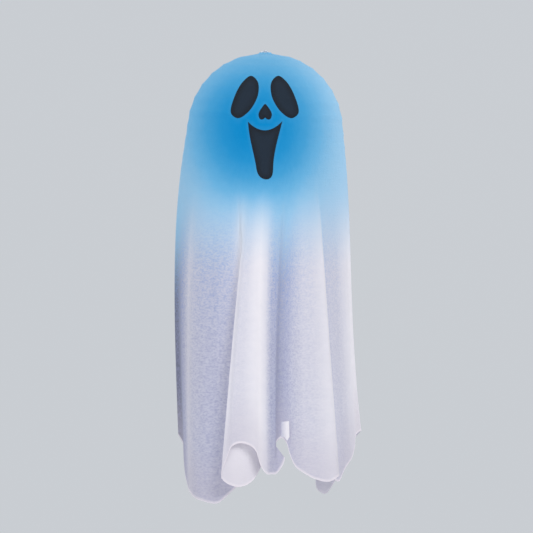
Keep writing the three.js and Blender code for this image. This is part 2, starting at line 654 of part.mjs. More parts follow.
// The door turns about its rounded lower edge.
function batteryDoor() {
  const shape = new THREE.Shape();
  shape.moveTo(CASE_D / 2, DOOR_TOP);
  shape.lineTo(DOOR_INNER, DOOR_TOP);
  shape.lineTo(DOOR_INNER, HINGE_Z);
  shape.absarc(HINGE_Y, HINGE_Z, DOOR_T / 2, Math.PI, 2 * Math.PI, false);
  const width = 2 * DOOR_HALF_W;
  const geometry = extruded(shape, width, 6).rotateY(Math.PI / 2).rotateX(Math.PI / 2);
  const plate = toSolid(geometry.translate(-DOOR_HALF_W, 0, 0));
  const pinEnd = DOOR_HALF_W + DOOR_PIN_L;
  const pins = bar('x', DOOR_HINGE_PIN_R, -pinEnd, pinEnd, [HINGE_Y, HINGE_Z], 12);
  const seat = CASE_D / 2 - SCREW_HEAD_H - GAP;
  const headHole = bar('y', SCREW_HEAD_R + GAP, seat, CASE_D, [0, DOOR_SCREW_Z], 20);
  const shankHole = bar('y', SCREW_HOLE_R, 0, CASE_D, [0, DOOR_SCREW_Z], 16);
  const thumbMiddle = [CASE_D / 2 + THUMB_R - THUMB_DEPTH, DOOR_SCREW_Z - THUMB_DROP];
  const thumbHollow = bar('x', THUMB_R, -THUMB_W / 2, THUMB_W / 2, thumbMiddle, 24);
  return cut(join(plate, pins), headHole, shankHole, thumbHollow);
}

// A pan-head screw along an axis, with its head's outer face at the given place and its point further on.
function screw(axis, outer, length, place) {
  const direction = axis === 'y' ? -1 : 1;
  const under = outer + direction * SCREW_HEAD_H;
  const head = bar(axis, SCREW_HEAD_R, outer, under, place, 16);
  return join(head, bar(axis, SCREW_R, outer + direction * SUNK, outer + direction * length, place, 12));
}

function cell(index) {
  const shoulder = CELL_L - CELL_NUB_H;
  const rim = CELL_R - CELL_EDGE;
  const profile = [[0, 0], [rim, 0], [CELL_R, CELL_EDGE], [CELL_R, shoulder - CELL_EDGE], [rim, shoulder],
    [CELL_NUB_R, shoulder], [CELL_NUB_R, CELL_L], [0, CELL_L]];
  const plate = GAP + CONTACT_T + GAP;
  const foot = CELL_UP[index] ? BAY_BOTTOM + plate + SPRING_H : BAY_TOP - plate - SPRING_H;
  const sense = CELL_UP[index] ? 1 : -1;
  const body = turned(profile.map(([radius, height]) => [radius, foot + sense * height]), 20);
  return body.translate([CELL_X[index], CELL_Y, 0]);
}

// A contact plate under or over the cells from one index to another, with a spring at one of them or none.
function contact(atTop, fromCell, toCell, springCell) {
  const outer = atTop ? BAY_TOP - GAP : BAY_BOTTOM + GAP;
  const inward = atTop ? -1 : 1;
  const inner = outer + inward * CONTACT_T;
  const half = CELL_PITCH / 2 - CONTACT_MARGIN;
  const low = [CELL_X[fromCell] - half, CELL_Y - half, Math.min(outer, inner)];
  const high = [CELL_X[toCell] + half, CELL_Y + half, Math.max(outer, inner)];
  const plate = block(low, high);
  if (springCell === undefined) return plate;
  const steps = Math.round(8 * SPRING_TURNS);
  const stations = Array.from({ length: steps + 1 }, (_, i) => {
    const part = i / steps;
    const turn = 2 * Math.PI * SPRING_TURNS * part;
    const radius = SPRING_R * (1 - SPRING_TAPER * part);
    const rise = SPRING_WIRE_R / 2 + part * (SPRING_H - 1.5 * SPRING_WIRE_R);
    const [x, y] = [CELL_X[springCell] + radius * Math.cos(turn), CELL_Y + radius * Math.sin(turn)];
    return new THREE.Vector3(x, y, inner + inward * rise);
  });
  return join(plate, wire(stations, SPRING_WIRE_R, 5));
}

function contactNegative() {
  const top = BAY_BOTTOM + GAP + CONTACT_T;
  const x = CELL_X[0];
  const tab = block([x - TAB_HALF_W, TAB_Y, BOARD_TOP + GAP], [x + TAB_HALF_W, TAB_Y + CONTACT_T, top]);
  return join(contact(false, 0, 0, 0), tab);
}

function contactPositive() {
  const [low, high] = [BAY_TOP - GAP - CONTACT_T, BAY_TOP - GAP];
  const [front, back] = [CELL_Y - TAB_HALF_W, CELL_Y + TAB_HALF_W];
  const arm = block([CELL_X[2], front, low], [STRIP_X + CONTACT_T, back, high]);
  const strip = block([STRIP_X, front, BOARD_TOP + GAP], [STRIP_X + CONTACT_T, back, high]);
  return join(contact(true, 2, 2), arm, strip);
}

function lampBase() {
  const outside = [[0, BASE_TOP], [BASE_R - BASE_EDGE, BASE_TOP], [BASE_R, BASE_TOP - BASE_EDGE],
    [BASE_R, BASE_BOTTOM]];
  const lip = [[LIP_R, BASE_BOTTOM], [LIP_R, LIP_TOP], [BORE_R, LIP_TOP]];
  const ledge = [[BORE_R, LEDGE_Z], [LEDGE_R, LEDGE_Z], [LEDGE_R, BASE_TOP - BASE_ROOF]];
  const cup = turned([...outside, ...lip, ...ledge, [0, BASE_TOP - BASE_ROOF]], 40);
  const slotHalf = (KNOB_W + KNOB_TRAVEL) / 2 + GAP;
  const slotHeight = KNOB_H / 2 + GAP;
  const slotLow = [-slotHalf, -BASE_R - PAST, KNOB_Z - slotHeight];
  const knobSlot = block(slotLow, [slotHalf, PAST - LEDGE_R, KNOB_Z + slotHeight]);
  const screwHoles = [-1, 1].map((side) => (
    bar('z', SCREW_HOLE_R, LEDGE_Z, BASE_TOP + PAST, [side * BASE_SCREW_X, BASE_SCREW_Y], 12)));
  return cut(cup, knobSlot, ...screwHoles, ...leadSlots(LEDGE_Z, BASE_TOP + PAST));
}

function ledBoard() {
  return turned([[0, BOARD_TOP], [BOARD_R, BOARD_TOP], [BOARD_R, BOARD_BOTTOM], [0, BOARD_BOTTOM]], 40);
}

function led(index) {
  const angle = Math.PI / 2 + (2 * Math.PI * index) / LED_COUNT;
  const top = BOARD_BOTTOM - GAP;
  const profile = [[0, top], [LED_R + LED_FLANGE, top], [LED_R + LED_FLANGE, top - LED_FLANGE_H],
    [LED_R, top - LED_FLANGE_H]];
  for (let i = 0; i <= 3; i++) {
    const turn = (Math.PI / 6) * i;
    profile.push([LED_R * Math.cos(turn), top - LED_H + LED_R - LED_R * Math.sin(turn)]);
  }
  const place = [LED_CIRCLE_R * Math.cos(angle), LED_CIRCLE_R * Math.sin(angle), 0];
  return turned(profile, 14).translate(place);
}

function diffuserDome() {
  const steps = 7;
  const neck = LIP_TOP - DOME_NECK;
  const bowl = (radius, depth) => Array.from({ length: steps + 1 }, (_, i) => {
    const turn = (Math.PI / 2) * (i / steps);
    return [radius * Math.cos(turn), neck - depth * Math.sin(turn)];
  });
  const inner = DOME_R - DOME_WALL;
  const depth = DOME_H - (FLANGE_TOP - neck);
  const flange = [[BOARD_R, FLANGE_TOP], [BOARD_R, FLANGE_BOTTOM], [DOME_R, FLANGE_BOTTOM]];
  const outside = [...flange, ...bowl(DOME_R, depth)].reverse();
  return turned([...outside, [inner, FLANGE_TOP], ...bowl(inner, depth - DOME_WALL)], 40);
}

function switchBody() {
  const [half, roof] = [SWITCH_W / 2, BASE_TOP - BASE_ROOF];
  return block([-half, SWITCH_FRONT, BOARD_TOP + GAP], [half, SWITCH_FRONT + SWITCH_D, roof - GAP]);
}

// The knob rests at the off end of its slot and travels along +X.
function switchSlider() {
  const left = -(KNOB_W + KNOB_TRAVEL) / 2;
  const [low, high] = [KNOB_Z - KNOB_H / 2, KNOB_Z + KNOB_H / 2];
  const front = -BASE_R - KNOB_PROUD;
  const stem = block([left, front, low], [left + KNOB_W, SWITCH_FRONT - GAP, high]);
  const grooves = [1, 2].map((count) => {
    const x = left + (count * KNOB_W) / 3;
    const half = KNOB_GROOVE_W / 2;
    const from = [x - half, front - PAST, low - PAST];
    return block(from, [x + half, front + KNOB_GROOVE_DEPTH, high + PAST]);
  });
  return cut(stem, ...grooves);
}

// Assembly

const PATCH_STOCK = patchStock();

function place(group, name, solid, color, roughness, metalness = 0) {
  const material = new THREE.MeshStandardMaterial({ color, roughness, metalness });
  const mesh = new THREE.Mesh(toGeometry(solid), material);
  mesh.name = name;
  group.add(mesh);
}

const CLOTH = 0xdfdfea;
const PATCH = 0x1c2630;
const WHITE_PLASTIC = 0xe9e9e4;
const STEEL = 0xb9bcc0;
const CELL_WRAP = 0x6d7378;
const CELL_NAMES = ['cell_left', 'cell_middle', 'cell_right'];
const LED_NAMES = Array.from({ length: LED_COUNT }, (_, index) => `led_${index + 1}`);

function ghost() {
  const group = new THREE.Group();
  place(group, 'shroud', shroud(), CLOTH, 0.9);
  place(group, 'left_eye_patch', eyePatch(-1), PATCH, 0.9);
  place(group, 'right_eye_patch', eyePatch(1), PATCH, 0.9);
  place(group, 'nose_patch', nosePatch(), PATCH, 0.9);
  place(group, 'mouth_patch', mouthPatch(), PATCH, 0.9);
  return group;
}

function lantern() {
  const group = new THREE.Group();
  place(group, 'lantern_skin', lanternSkin(), 0xf2f2ee, 0.8);
  place(group, 'spiral_wire', spiralWire(), STEEL, 0.35, 1);
  place(group, 'top_ring', ring(TOP_OPENING_R, TOP_RING_Z), STEEL, 0.35, 1);
  place(group, 'bottom_ring', ring(BOTTOM_OPENING_R, BOTTOM_RING_Z), STEEL, 0.35, 1);
  place(group, 'expander', expander(), 0xe6e8ec, 0.45);
  return group;
}

function batteryLight() {
  const group = new THREE.Group();
  const screwZ = BASE_TOP - BASE_ROOF - GAP - SCREW_HEAD_H;
  place(group, 'lamp_case', lampCase(), WHITE_PLASTIC, 0.5);
  place(group, 'battery_door', batteryDoor(), WHITE_PLASTIC, 0.5);
  place(group, 'door_screw', screw('y', CASE_D / 2, DOOR_SCREW_L, [0, DOOR_SCREW_Z]), STEEL, 0.3, 1);
  place(group, 'lamp_base', lampBase(), WHITE_PLASTIC, 0.5);
  const baseScrew = (x) => screw('z', screwZ, BASE_SCREW_L, [x, BASE_SCREW_Y]);
  place(group, 'base_screw_left', baseScrew(-BASE_SCREW_X), STEEL, 0.3, 1);
  place(group, 'base_screw_right', baseScrew(BASE_SCREW_X), STEEL, 0.3, 1);
  place(group, 'led_board', ledBoard(), 0xf0f0ec, 0.4);
  LED_NAMES.forEach((name, index) => place(group, name, led(index), 0xbfe4ff, 0.1));
  place(group, 'diffuser_dome', diffuserDome(), 0xf4f7fa, 0.35);
  place(group, 'switch_body', switchBody(), STEEL, 0.4, 1);
  place(group, 'switch_slider', switchSlider(), 0x202226, 0.5);
  CELL_NAMES.forEach((name, index) => place(group, name, cell(index), CELL_WRAP, 0.4));
  place(group, 'contact_negative', contactNegative(), STEEL, 0.3, 1);
  place(group, 'contact_positive', contactPositive(), STEEL, 0.3, 1);
  place(group, 'contact_bridge_upper', contact(true, 0, 1, 1), STEEL, 0.3, 1);
  place(group, 'contact_bridge_lower', contact(false, 1, 2, 2), STEEL, 0.3, 1);
  group.position.z = BRIDGE_Z;
  return group;
}

const ghostLantern = new THREE.Group();
ghostLantern.add(ghost(), lantern(), batteryLight());

export default ghostLantern;
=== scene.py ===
"""A hanging ghost lantern: cloth, felt face, wire lantern and battery light, dressed over the CAD model."""
from collections import namedtuple
from functools import cache
from math import acos, asin, ceil, cos, exp, hypot, pi, radians, sin, sqrt, tan, tanh

import bmesh
import bpy
from mathutils import Matrix, Vector
from mathutils.bvhtree import BVHTree


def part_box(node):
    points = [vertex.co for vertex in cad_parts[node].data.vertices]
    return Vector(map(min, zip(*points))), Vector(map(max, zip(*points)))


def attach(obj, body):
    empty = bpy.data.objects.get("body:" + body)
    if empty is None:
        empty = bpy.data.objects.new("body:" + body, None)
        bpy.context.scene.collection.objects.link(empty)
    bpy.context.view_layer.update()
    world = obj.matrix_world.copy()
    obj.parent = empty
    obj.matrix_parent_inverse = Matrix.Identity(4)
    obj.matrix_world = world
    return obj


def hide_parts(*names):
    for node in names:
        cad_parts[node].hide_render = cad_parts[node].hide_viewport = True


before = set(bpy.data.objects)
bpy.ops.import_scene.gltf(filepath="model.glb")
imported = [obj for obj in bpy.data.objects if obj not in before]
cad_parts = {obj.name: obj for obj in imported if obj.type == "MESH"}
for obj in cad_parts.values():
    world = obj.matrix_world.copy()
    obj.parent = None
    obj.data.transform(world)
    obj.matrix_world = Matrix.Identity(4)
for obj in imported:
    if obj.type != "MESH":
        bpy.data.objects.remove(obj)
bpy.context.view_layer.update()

MM = 0.001
JOIN = 0.001 * MM  # corners nearer than this are one
TO_FRONT = Vector((0, -1, 0))

# Clearances, as in the CAD model
GAP = 0.3 * MM
SKIN_GAP = 1.8 * MM
WIRE_SLACK = 1.2 * MM

# Cloth
CLOTH_R = 105.3 * MM
CLOTH_T = 1.0 * MM
CLOTH_SHEET_T = 0.7 * MM  # what shows as the cloth's thickness at the hem
CROWN_RISE = 2.8 * MM
LEAVE_ANGLE = radians(83)
FLARE = 14.8 * MM
LEAN = 4 * MM  # how far the hanging cloth leans to the left half way down
FOLD_START = 76 * MM
EYE_INNER_R = 4.8 * MM
EYE_PROUD = 4.6 * MM
EXPANDER_WIRE_R = 1.0 * MM
EYE_R = EYE_INNER_R + EXPANDER_WIRE_R
EYE_Z = -EYE_INNER_R
HOLE_R = EYE_R + EXPANDER_WIRE_R + 0.4 * MM
CROWN_Z = 2 * EXPANDER_WIRE_R - EYE_PROUD

# Lantern
SKIN_T = 0.8 * MM
SKIN_SHEET_T = 0.6 * SKIN_T
RIDGE_FADE = 0.12  # radians from a ring over which the ridges of the skin begin
TOP_OPENING_R = 32 * MM
BOTTOM_OPENING_R = 45 * MM
RING_WIRE_R = 1.2 * MM
SPIRAL_WIRE_R = 0.8 * MM
SPIRAL_PITCH = 19 * MM
SPIRAL_MARGIN = 14 * MM
EYE_NECK = 1.6 * MM
EYE_CLOSE = radians(28)
BEND_R = 3 * MM
FOOT_OUT = 2 * MM
FOOT_IN = 3.5 * MM
LEG_OUT = 4 * MM
HEAD_Z = CROWN_Z - CROWN_RISE - sqrt(CLOTH_R ** 2 - TOP_OPENING_R ** 2)
SKIN_R = CLOTH_R - CLOTH_T - SKIN_GAP
RING_SPHERE_R = SKIN_R - SKIN_T - RING_WIRE_R - GAP
SPIRAL_SPHERE_R = SKIN_R - SKIN_T - SPIRAL_WIRE_R - WIRE_SLACK
TOP_RING_Z = HEAD_Z + sqrt(RING_SPHERE_R ** 2 - TOP_OPENING_R ** 2)
BOTTOM_RING_Z = HEAD_Z - sqrt(RING_SPHERE_R ** 2 - BOTTOM_OPENING_R ** 2)
BRIDGE_Z = TOP_RING_Z - RING_WIRE_R - EXPANDER_WIRE_R - GAP
FOOT_Z = BOTTOM_RING_Z + RING_WIRE_R + EXPANDER_WIRE_R + GAP
TOP_ANGLE = asin(TOP_OPENING_R / RING_SPHERE_R)
BOTTOM_ANGLE = pi - asin(BOTTOM_OPENING_R / RING_SPHERE_R)
FIRST_TURN = TOP_ANGLE + SPIRAL_MARGIN / SPIRAL_SPHERE_R
LAST_TURN = BOTTOM_ANGLE - SPIRAL_MARGIN / SPIRAL_SPHERE_R
TURNS = (LAST_TURN - FIRST_TURN) * SPIRAL_SPHERE_R / SPIRAL_PITCH

LEAVE_Z = HEAD_Z + CLOTH_R * cos(LEAVE_ANGLE)
FOLD_Z = HEAD_Z - FOLD_START

# The hem, clockwise seen from below, in millimetres. Each point has the bearing on the head that its cloth
# comes from, in degrees from the front, where it hangs, how light the cloth is there (painted shade and
# light:
# partly a single layer darker than a doubled one, partly valleys, creases and sides turned from the light
# painted darker and shadowed inner layers painted lighter), how soon its fold grows on the way down (0.5 is
# evenly), and how far the last few centimetres swing sideways.
HemPoint = namedtuple("HemPoint", "name start x y z tone early swing", defaults=(0.6, 0))
HEM = [HemPoint(*point) for point in (
    ("left side tip", -92, -117, 14, -517, 0.0, 0.25),
    ("left tuck", -78, -111, -8, -530, 0.16),
    ("left edge, middle", -66, -108, -30, -571, 0.46, 0.7),
    ("left front fold", -54, -101.5, -58, -593, 0.8, 0.7),
    ("left panel, outer", -47, -95, -69, -601, 0.68, 0.7),
    ("big lobe, left", -41, -85, -78, -605, 0.63, 0.65),
    ("big lobe, bottom", -33, -65, -87, -608.5, 0.6),
    ("big lobe, right", -27, -51, -91, -598, 0.62),
    ("behind the flap", -22.5, -34, -94, -582, 0.66),
    ("behind the flap, upper", -20, -18, -97, -568, 0.8, 0.58),
    ("turn behind the flap", -18, -6, -103, -558, 1.0, 0.54),
    ("inner layer, right", -15.5, -19, -111, -579.5, 1.0, 0.51),
    ("inner layer, bottom", -13, -38, -115, -586, 1.0, 0.5),
    ("edge of the flap", -10, -58.5, -119, -574, 0.92, 0.47),
    ("beside the arch", -8.8, -52, -121, -549, 0.86, 0.52),
    ("arch, left", -7, -44, -124, -531, 0.82, 0.57),
    ("arch, top", -5, -31, -126, -527, 0.84),
    ("arch, right", -2.8, -14, -127, -535, 0.95),
    ("arch, foot", 0, -6, -126, -557, 1.0),
    ("small lobe, left", 4.2, 1.5, -124, -568, 0.86),
    ("small lobe, middle", 9, 8.5, -120, -569, 0.54),
    ("small lobe, right", 12.7, 16, -117, -567.5, 0.48, 0.6, 2),
    ("hook", 14.7, 26.5, -114, -546.5, 0.48, 0.6, 15),
    ("under the notch", 16.4, 14.5, -113, -540, 0.48, 0.6, 3.5),
    ("notch, left", 18, 12.5, -112, -530.5, 0.41),
    ("notch, top", 19.5, 22, -111, -520, 0.45),
    ("notch, right", 21, 28.5, -111, -527, 0.52),
    ("wide lobe, left", 22.5, 32.5, -111, -541, 0.6),
    ("wide lobe, lower left", 24.5, 40, -111, -558, 0.68),
    ("wide lobe, slope", 28, 53, -109, -568, 0.77),
    ("wide lobe, bottom", 32, 70, -106, -576.5, 0.8),
    ("wide lobe, right", 36, 87, -101, -579, 0.88),
    ("right front ridge", 38.5, 99.5, -95, -571, 0.95),
    ("behind the ridge", 41, 92, -84, -575, 0.7),
    ("right panel, left", 44, 100, -72, -579, 0.76),
    ("right panel, lower", 53, 107, -61, -563, 0.76, 0.5),
    ("right panel, edge", 62, 118, -46, -546, 0.86, 0.4),
    ("right panel, step", 70, 121, -33, -530, 0.92, 0.35),
    ("right side, step", 77, 123, -20, -517, 0.98, 0.3),
    ("right side tip", 85, 129.5, -6, -511.5, 1.0, 0.25),
    ("right side, back", 95, 121, 16, -522, 0.7, 0.3),
    ("back right tuck", 108, 107, 36, -535, 0.45, 0.5),
    ("back right lobe, outer", 118, 101, 56, -565, 0.6),
    ("back right lobe, right", 124, 93, 68, -584, 0.95),
    ("back right lobe, bottom", 131, 81, 78, -598, 1.0),
    ("back right lobe, left", 138, 70, 86, -590, 0.95),
    ("back right lobe, inner", 143, 67, 86, -562, 0.7),
    ("back valley", 152, 47, 88, -545, 0.45),
    ("back ridge", 167, 26, 118, -512, 0.95),
    ("back middle", 183, -8, 98, -508, 0.5),
    ("back left ridge", 201, -46, 116, -540, 0.95),
    ("back left lobe", 221, -78, 86, -572, 0.55),
    ("back left fold", 240, -106, 62, -545, 0.85),
    ("back left tuck", 254, -104, 34, -524, 0.3),
)]
COLUMN_WIDTH = 1.6  # degrees of the head for each column of faces
LEAST_COLUMNS = 4  # between two points of the hem
SWING_FROM = 0.965  # the part of the way down at which a swing starts
CROWN_ROWS = 6
CROWN_SPACING = 1.3  # above 1, the rows crowd towards the hole
DOME_ROWS = 36
FALL_ROWS = 88
FALL_SPACING = 1.25  # above 1, the rows crowd towards the hem
CORNER_OUTLINE = [(20.5, -501.5), (22, -498.5), (32.2, -497.5), (32.6, -519), (29.5, -524), (25, -518.5),
                  (21, -520)]
CORNER_CUTS = range(21, 33, 2), range(-523, -499, 2)  # millimetres across and up, as in its outline
CORNER_RISE = 20 * MM, 30 * MM  # from where the corner lies on the cloth to where it stands clear
CORNER_PROUD = 3 * MM
CORNER_SUNK = 0.3 * MM
CORNER_T = 0.7 * CLOTH_SHEET_T
PUCKERS = 12  # small gathers round the crown hole
PUCKER_H = 0.35 * MM
COLLAR_H = 1.8 * MM
COLLAR_W = 2.2 * MM
CROWN_SAG = 1.3 * MM  # how far the cloth settles on the edge of the lantern's top opening
CROWN_SAG_W = 20 * MM
RIPPLE = 0.3 * MM
RIPPLE_WAVES = (23, 5, 1), (41, -3, 0.6)  # waves round the cloth, their turn on the way down, and their share
WIRE_DIP = 0.95 * MM  # the cloth between two turns of the spiral wire
DIP_FADE = 0.2  # radians below the top opening over which the dips begin

# Where the cloth's light and shade change
GLOW_X = -12 * MM
GLOW_SIDES = 10 * MM, 130 * MM
GLOW_SIDE_LOSS = 0.86
GLOW_UP = -95 * MM, 8 * MM
GLOW_UP_LOSS = 0.66
GLOW_DOWN = -260 * MM, -105 * MM
LIT_HEIGHTS = -310 * MM, -185 * MM
LIT_SHIFT = 50 * MM  # how much higher the glow ends on a light fold than on a dark one
FOLDED_DEPTHS = 130 * MM, 250 * MM
FOLD_GLOW = 0.3  # how much more glows through a dark fold than through a light one
HEAD_TONE = 0.72
HEM_BAND = 1.2 * MM, 3 * MM
# painted shade: the cloth turns greyer within this distance of the hem
HEM_SHADE_BAND = 90 * MM
HALO_W = 5 * MM
HALO_END = 15 * MM  # below the first folds
# painted glow: heights between which the speckle turns bluer upwards
SPECKLE_GLOW_HEIGHTS = -420 * MM, -250 * MM
WEAVE_SCALE = 150.0

# Face outlines, in hundredths of the head's radius from the middle of the head
FACE_UNIT = CLOTH_R / 100
EYE_OUTLINE = [(17.8, 68.6), (9.4, 60.8), (9.4, 43.4), (20.3, 23.6), (34.6, 14.2), (43.6, 20.6),
               (38.9, 42.6), (28, 61.6)]
RIGHT_EYE_SHIFT = -1.2
NOSE_RIGHT = [(3.4, 28.9), (8.5, 19.5), (6.3, 12.9), (2.3, 12.9)]
NOSE_TOP, NOSE_BOTTOM = (0, 32.3), (0, 14.8)
MOUTH_CORNERS = (-21.9, 9.6), (21.9, 10.4)
MOUTH_DIP = (0, -12.7)
MOUTH_SIDES = [
    ((17.1, -9.5), (10.8, -28.5), (10.2, -48.4)),
    ((10.1, -57.9), (8.7, -64), (1.1, -64)),
    ((-6.6, -63.2), (-10.3, -57.9), (-11.4, -48.6)),
    ((-13.8, -32.3), (-20.4, -13.3), (-21.9, 9.6)),
]
PATCH_T = 0.6 * MM
PATCH_OFF = 0.35 * MM  # the felt's back face off the cloth
PATCH_CELL = 4 * MM
PATCH_EDGE = 0.45  # the part of the felt's thickness that its edge has
PATCH_ROUNDING = 1.2 * MM
PATCH_SHADE = 0.4 * MM, 9 * MM  # painted shade: depths inside the outline from the felt's darker edge to its lighter middle
PATCH_SHEET_T = 0.6 * PATCH_T

# Battery light, as in the CAD model
DOME_R = 19.9 * MM
DOME_WALL = 1.4 * MM
DOME_FLANGE_T = 1.5 * MM
DOME_NECK = 3 * MM
LED_R = 2.5 * MM
LED_FLANGE_R = 2.9 * MM
LED_FLANGE_H = 1 * MM
LED_EDGE = 0.15 * MM
SCREW_R = 1.0 * MM
SCREW_HEAD_R = 2.3 * MM
SCREW_HEAD_H = 1.1 * MM
SCREW_POINT = 0.6 * MM
SCREW_SIDES = 42  # not a multiple of 8, so no side of the head lies on a corner of the recess
RECESS_L = 2.6 * MM
RECESS_W = 0.6 * MM
RECESS_DEPTH = 0.6 * MM
# A cell's (radius, height) from its flat end to its raised end, in millimetres
CELL_PROFILE = [(0, 0), (4.3, 0), (4.42, 0.14), (4.7, 0.14), (5.02, 0.3), (5.2, 0.6), (5.2, 42.5),
                (5.05, 42.9), (4.75, 43.1), (4.3, 43.1), (4.1, 43.3), (2.9, 43.3), (2.7, 43.45),
                (2.7, 44.25), (2.45, 44.5), (0, 44.5)]
CELL_SLEEVE_FROM = 4.35 * MM
CELL_BAND = -47 * MM, -39 * MM  # the heights between which a pale band runs round the cells
CELL_BAND_EDGE = 0.5 * MM
DOME_LIT = -112 * MM, -88 * MM


# Small mesh helpers

def in_scene(name, data):
    """Puts a mesh, curve, light or camera in the scene."""
    made = bpy.data.objects.new(name, data)
    bpy.context.scene.collection.objects.link(made)
    return made


def from_work(name, work, *finishes):
    """Puts a bmesh in the scene as an object, and ends the bmesh."""
    mesh = bpy.data.meshes.new(name)
    work.to_mesh(mesh)
    work.free()
    for finish in finishes:
        mesh.materials.append(finish)
    return in_scene(name, mesh)


def to_work(holder):
    """A bmesh of an object as its modifiers or its wire's thickness leave it."""
    mesh = bpy.data.meshes.new_from_object(holder.evaluated_get(bpy.context.evaluated_depsgraph_get()))
    work = bmesh.new()
    work.from_mesh(mesh)
    bpy.data.meshes.remove(mesh)
    return work


def keep_piece(name, work, finish, body, node=None):
    """Turns a bmesh into a shown piece that rides on a body, in place of a CAD node if one is named."""
    piece = from_work(name, work, finish)
    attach(piece, body)
    if node:
        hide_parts(node)
    return piece


def joined(work):
    """A bmesh whose touching corners are one and whose faces look outwards."""
    bmesh.ops.remove_doubles(work, verts=work.verts, dist=JOIN)
    bmesh.ops.recalc_face_normals(work, faces=work.faces)
    return work


def face_along(work, direction):
    """Turns an open sheet over if it looks against a direction, which may differ from face to face."""
    if sum(face.normal.dot(direction(face)) * face.calc_area() for face in work.faces) < 0:
        bmesh.ops.reverse_faces(work, faces=work.faces)


def thicken(piece, thickness):
    """Gives a sheet a back at a distance behind it."""
    backing = piece.modifiers.new("thickness", "SOLIDIFY")
    backing.thickness = thickness
    backing.offset = -1


def smooth_faces(work, crease=radians(35)):
    """Smooth shading, with the edges that turn sharply left crisp."""
    for face in work.faces:
        face.smooth = True
    for edge in work.edges:
        edge.smooth = len(edge.link_faces) == 2 and edge.calc_face_angle(0) < crease


def spun(work, steps):
    """A line or a section spun once round the Z axis."""
    bmesh.ops.spin(work, geom=work.verts[:] + work.edges[:], cent=(0, 0, 0), axis=(0, 0, 1), angle=2 * pi,
                   steps=steps, use_merge=True)
    return joined(work)


def turned(profile, steps, middle=(0, 0)):
    """A round piece about an upright axis, from (radius, height) corners."""
    work = bmesh.new()
    corners = [work.verts.new((radius, 0, height)) for radius, height in profile]
    for pair in zip(corners, corners[1:]):
        work.edges.new(pair)
    bmesh.ops.translate(spun(work, steps), verts=work.verts, vec=(*middle, 0))
    return work


def wire_ring(ring_r, height, wire_r):
    """A round wire bent into a level ring."""
    work = bmesh.new()
    upright = Matrix.Translation((ring_r, 0, height)) @ Matrix.Rotation(pi / 2, 4, "X")
    bmesh.ops.create_circle(work, segments=14, radius=wire_r, matrix=upright)
    smooth_faces(spun(work, 120))
    return work


def bent_wire(points, wire_r, sides):
    """A round wire along points, as a mesh with closed ends."""
    line = bpy.data.curves.new("wire_line", "CURVE")
    line.dimensions = "3D"
    line.bevel_depth = wire_r
    line.bevel_resolution = sides
    line.use_fill_caps = True
    spline = line.splines.new("POLY")
    spline.points.add(len(points) - 1)
    for target, point in zip(spline.points, points):
        target.co = (*point, 1)
    holder = in_scene("wire_line", line)
    work = to_work(holder)
    bpy.data.objects.remove(holder)
    smooth_faces(joined(work), radians(60))
    return work


def diced(outline, across, up):
    """A flat sheet with an outline in the XZ plane, cut along lines at places across and up."""
    work = bmesh.new()
    work.faces.new([work.verts.new((x, 0, z)) for x, z in outline])
    for normal, places in ((Vector((1, 0, 0)), across), (Vector((0, 0, 1)), up)):
        for place in places:
            bmesh.ops.bisect_plane(work, geom=work.verts[:] + work.edges[:] + work.faces[:], dist=0.1 * JOIN,
                                   plane_co=normal * place, plane_no=normal)
    return work


def rounded_path(corners, bend_r, steps):
    """Points along corners in the XZ plane, with each corner rounded."""
    points = [Vector((x, 0, z)) for x, z in corners]
    path = [points[0]]
    for before, here, after in zip(points, points[1:], points[2:]):
        back, ahead = before - here, after - here
        wanted = bend_r / tan(back.angle(ahead) / 2)
        reach = min(wanted, 0.45 * back.length, 0.45 * ahead.length)
        start, end = here + back.normalized() * reach, here + ahead.normalized() * reach
        for step in range(steps + 1):
            part = step / steps
            path.append(start.lerp(here, part).lerp(here.lerp(end, part), part))
    return path + [points[-1]]


def moulded_copy(node, edge_r, pierced):
    """A CAD node's solid with its corners joined, its flat faces whole and its sharp edges rounded.

    Where the solid is pierced, its large faces are split into triangles again, so that they stay flat."""
    work = bmesh.new()
    work.from_mesh(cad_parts[node].data)
    bmesh.ops.remove_doubles(work, verts=work.verts, dist=2 * JOIN)
    bmesh.ops.dissolve_limit(work, angle_limit=radians(1), verts=work.verts, edges=work.edges)
    if pierced:
        bmesh.ops.triangulate(work, faces=[face for face in work.faces if len(face.verts) > 4])
    crease = radians(40)
    sharp = [edge for edge in work.edges if len(edge.link_faces) == 2 and edge.calc_face_angle(0) > crease]
    bmesh.ops.bevel(work, geom=sharp, offset=edge_r, segments=2, profile=0.5, affect="EDGES",
                    clamp_overlap=True, material=-1)
    smooth_faces(work, radians(30))
    return work


def carved(work, cutter):
    """A solid with another one taken out of it."""
    holders = [from_work("carving", solid) for solid in (work, cutter)]
    step = holders[0].modifiers.new("cut", "BOOLEAN")
    step.operation = "DIFFERENCE"
    step.object = holders[1]
    left_over = to_work(holders[0])
    for holder in holders:
        bpy.data.objects.remove(holder)
    return left_over


# Cloth shape

def around(bearing, radius, height):
    """A place at a bearing from the front, a radius and a height."""
    return Vector((radius * sin(bearing), -radius * cos(bearing), height))


def smooth_step(low, high, value):
    part = min(max((value - low) / (high - low), 0), 1)
    return part * part * (3 - 2 * part)


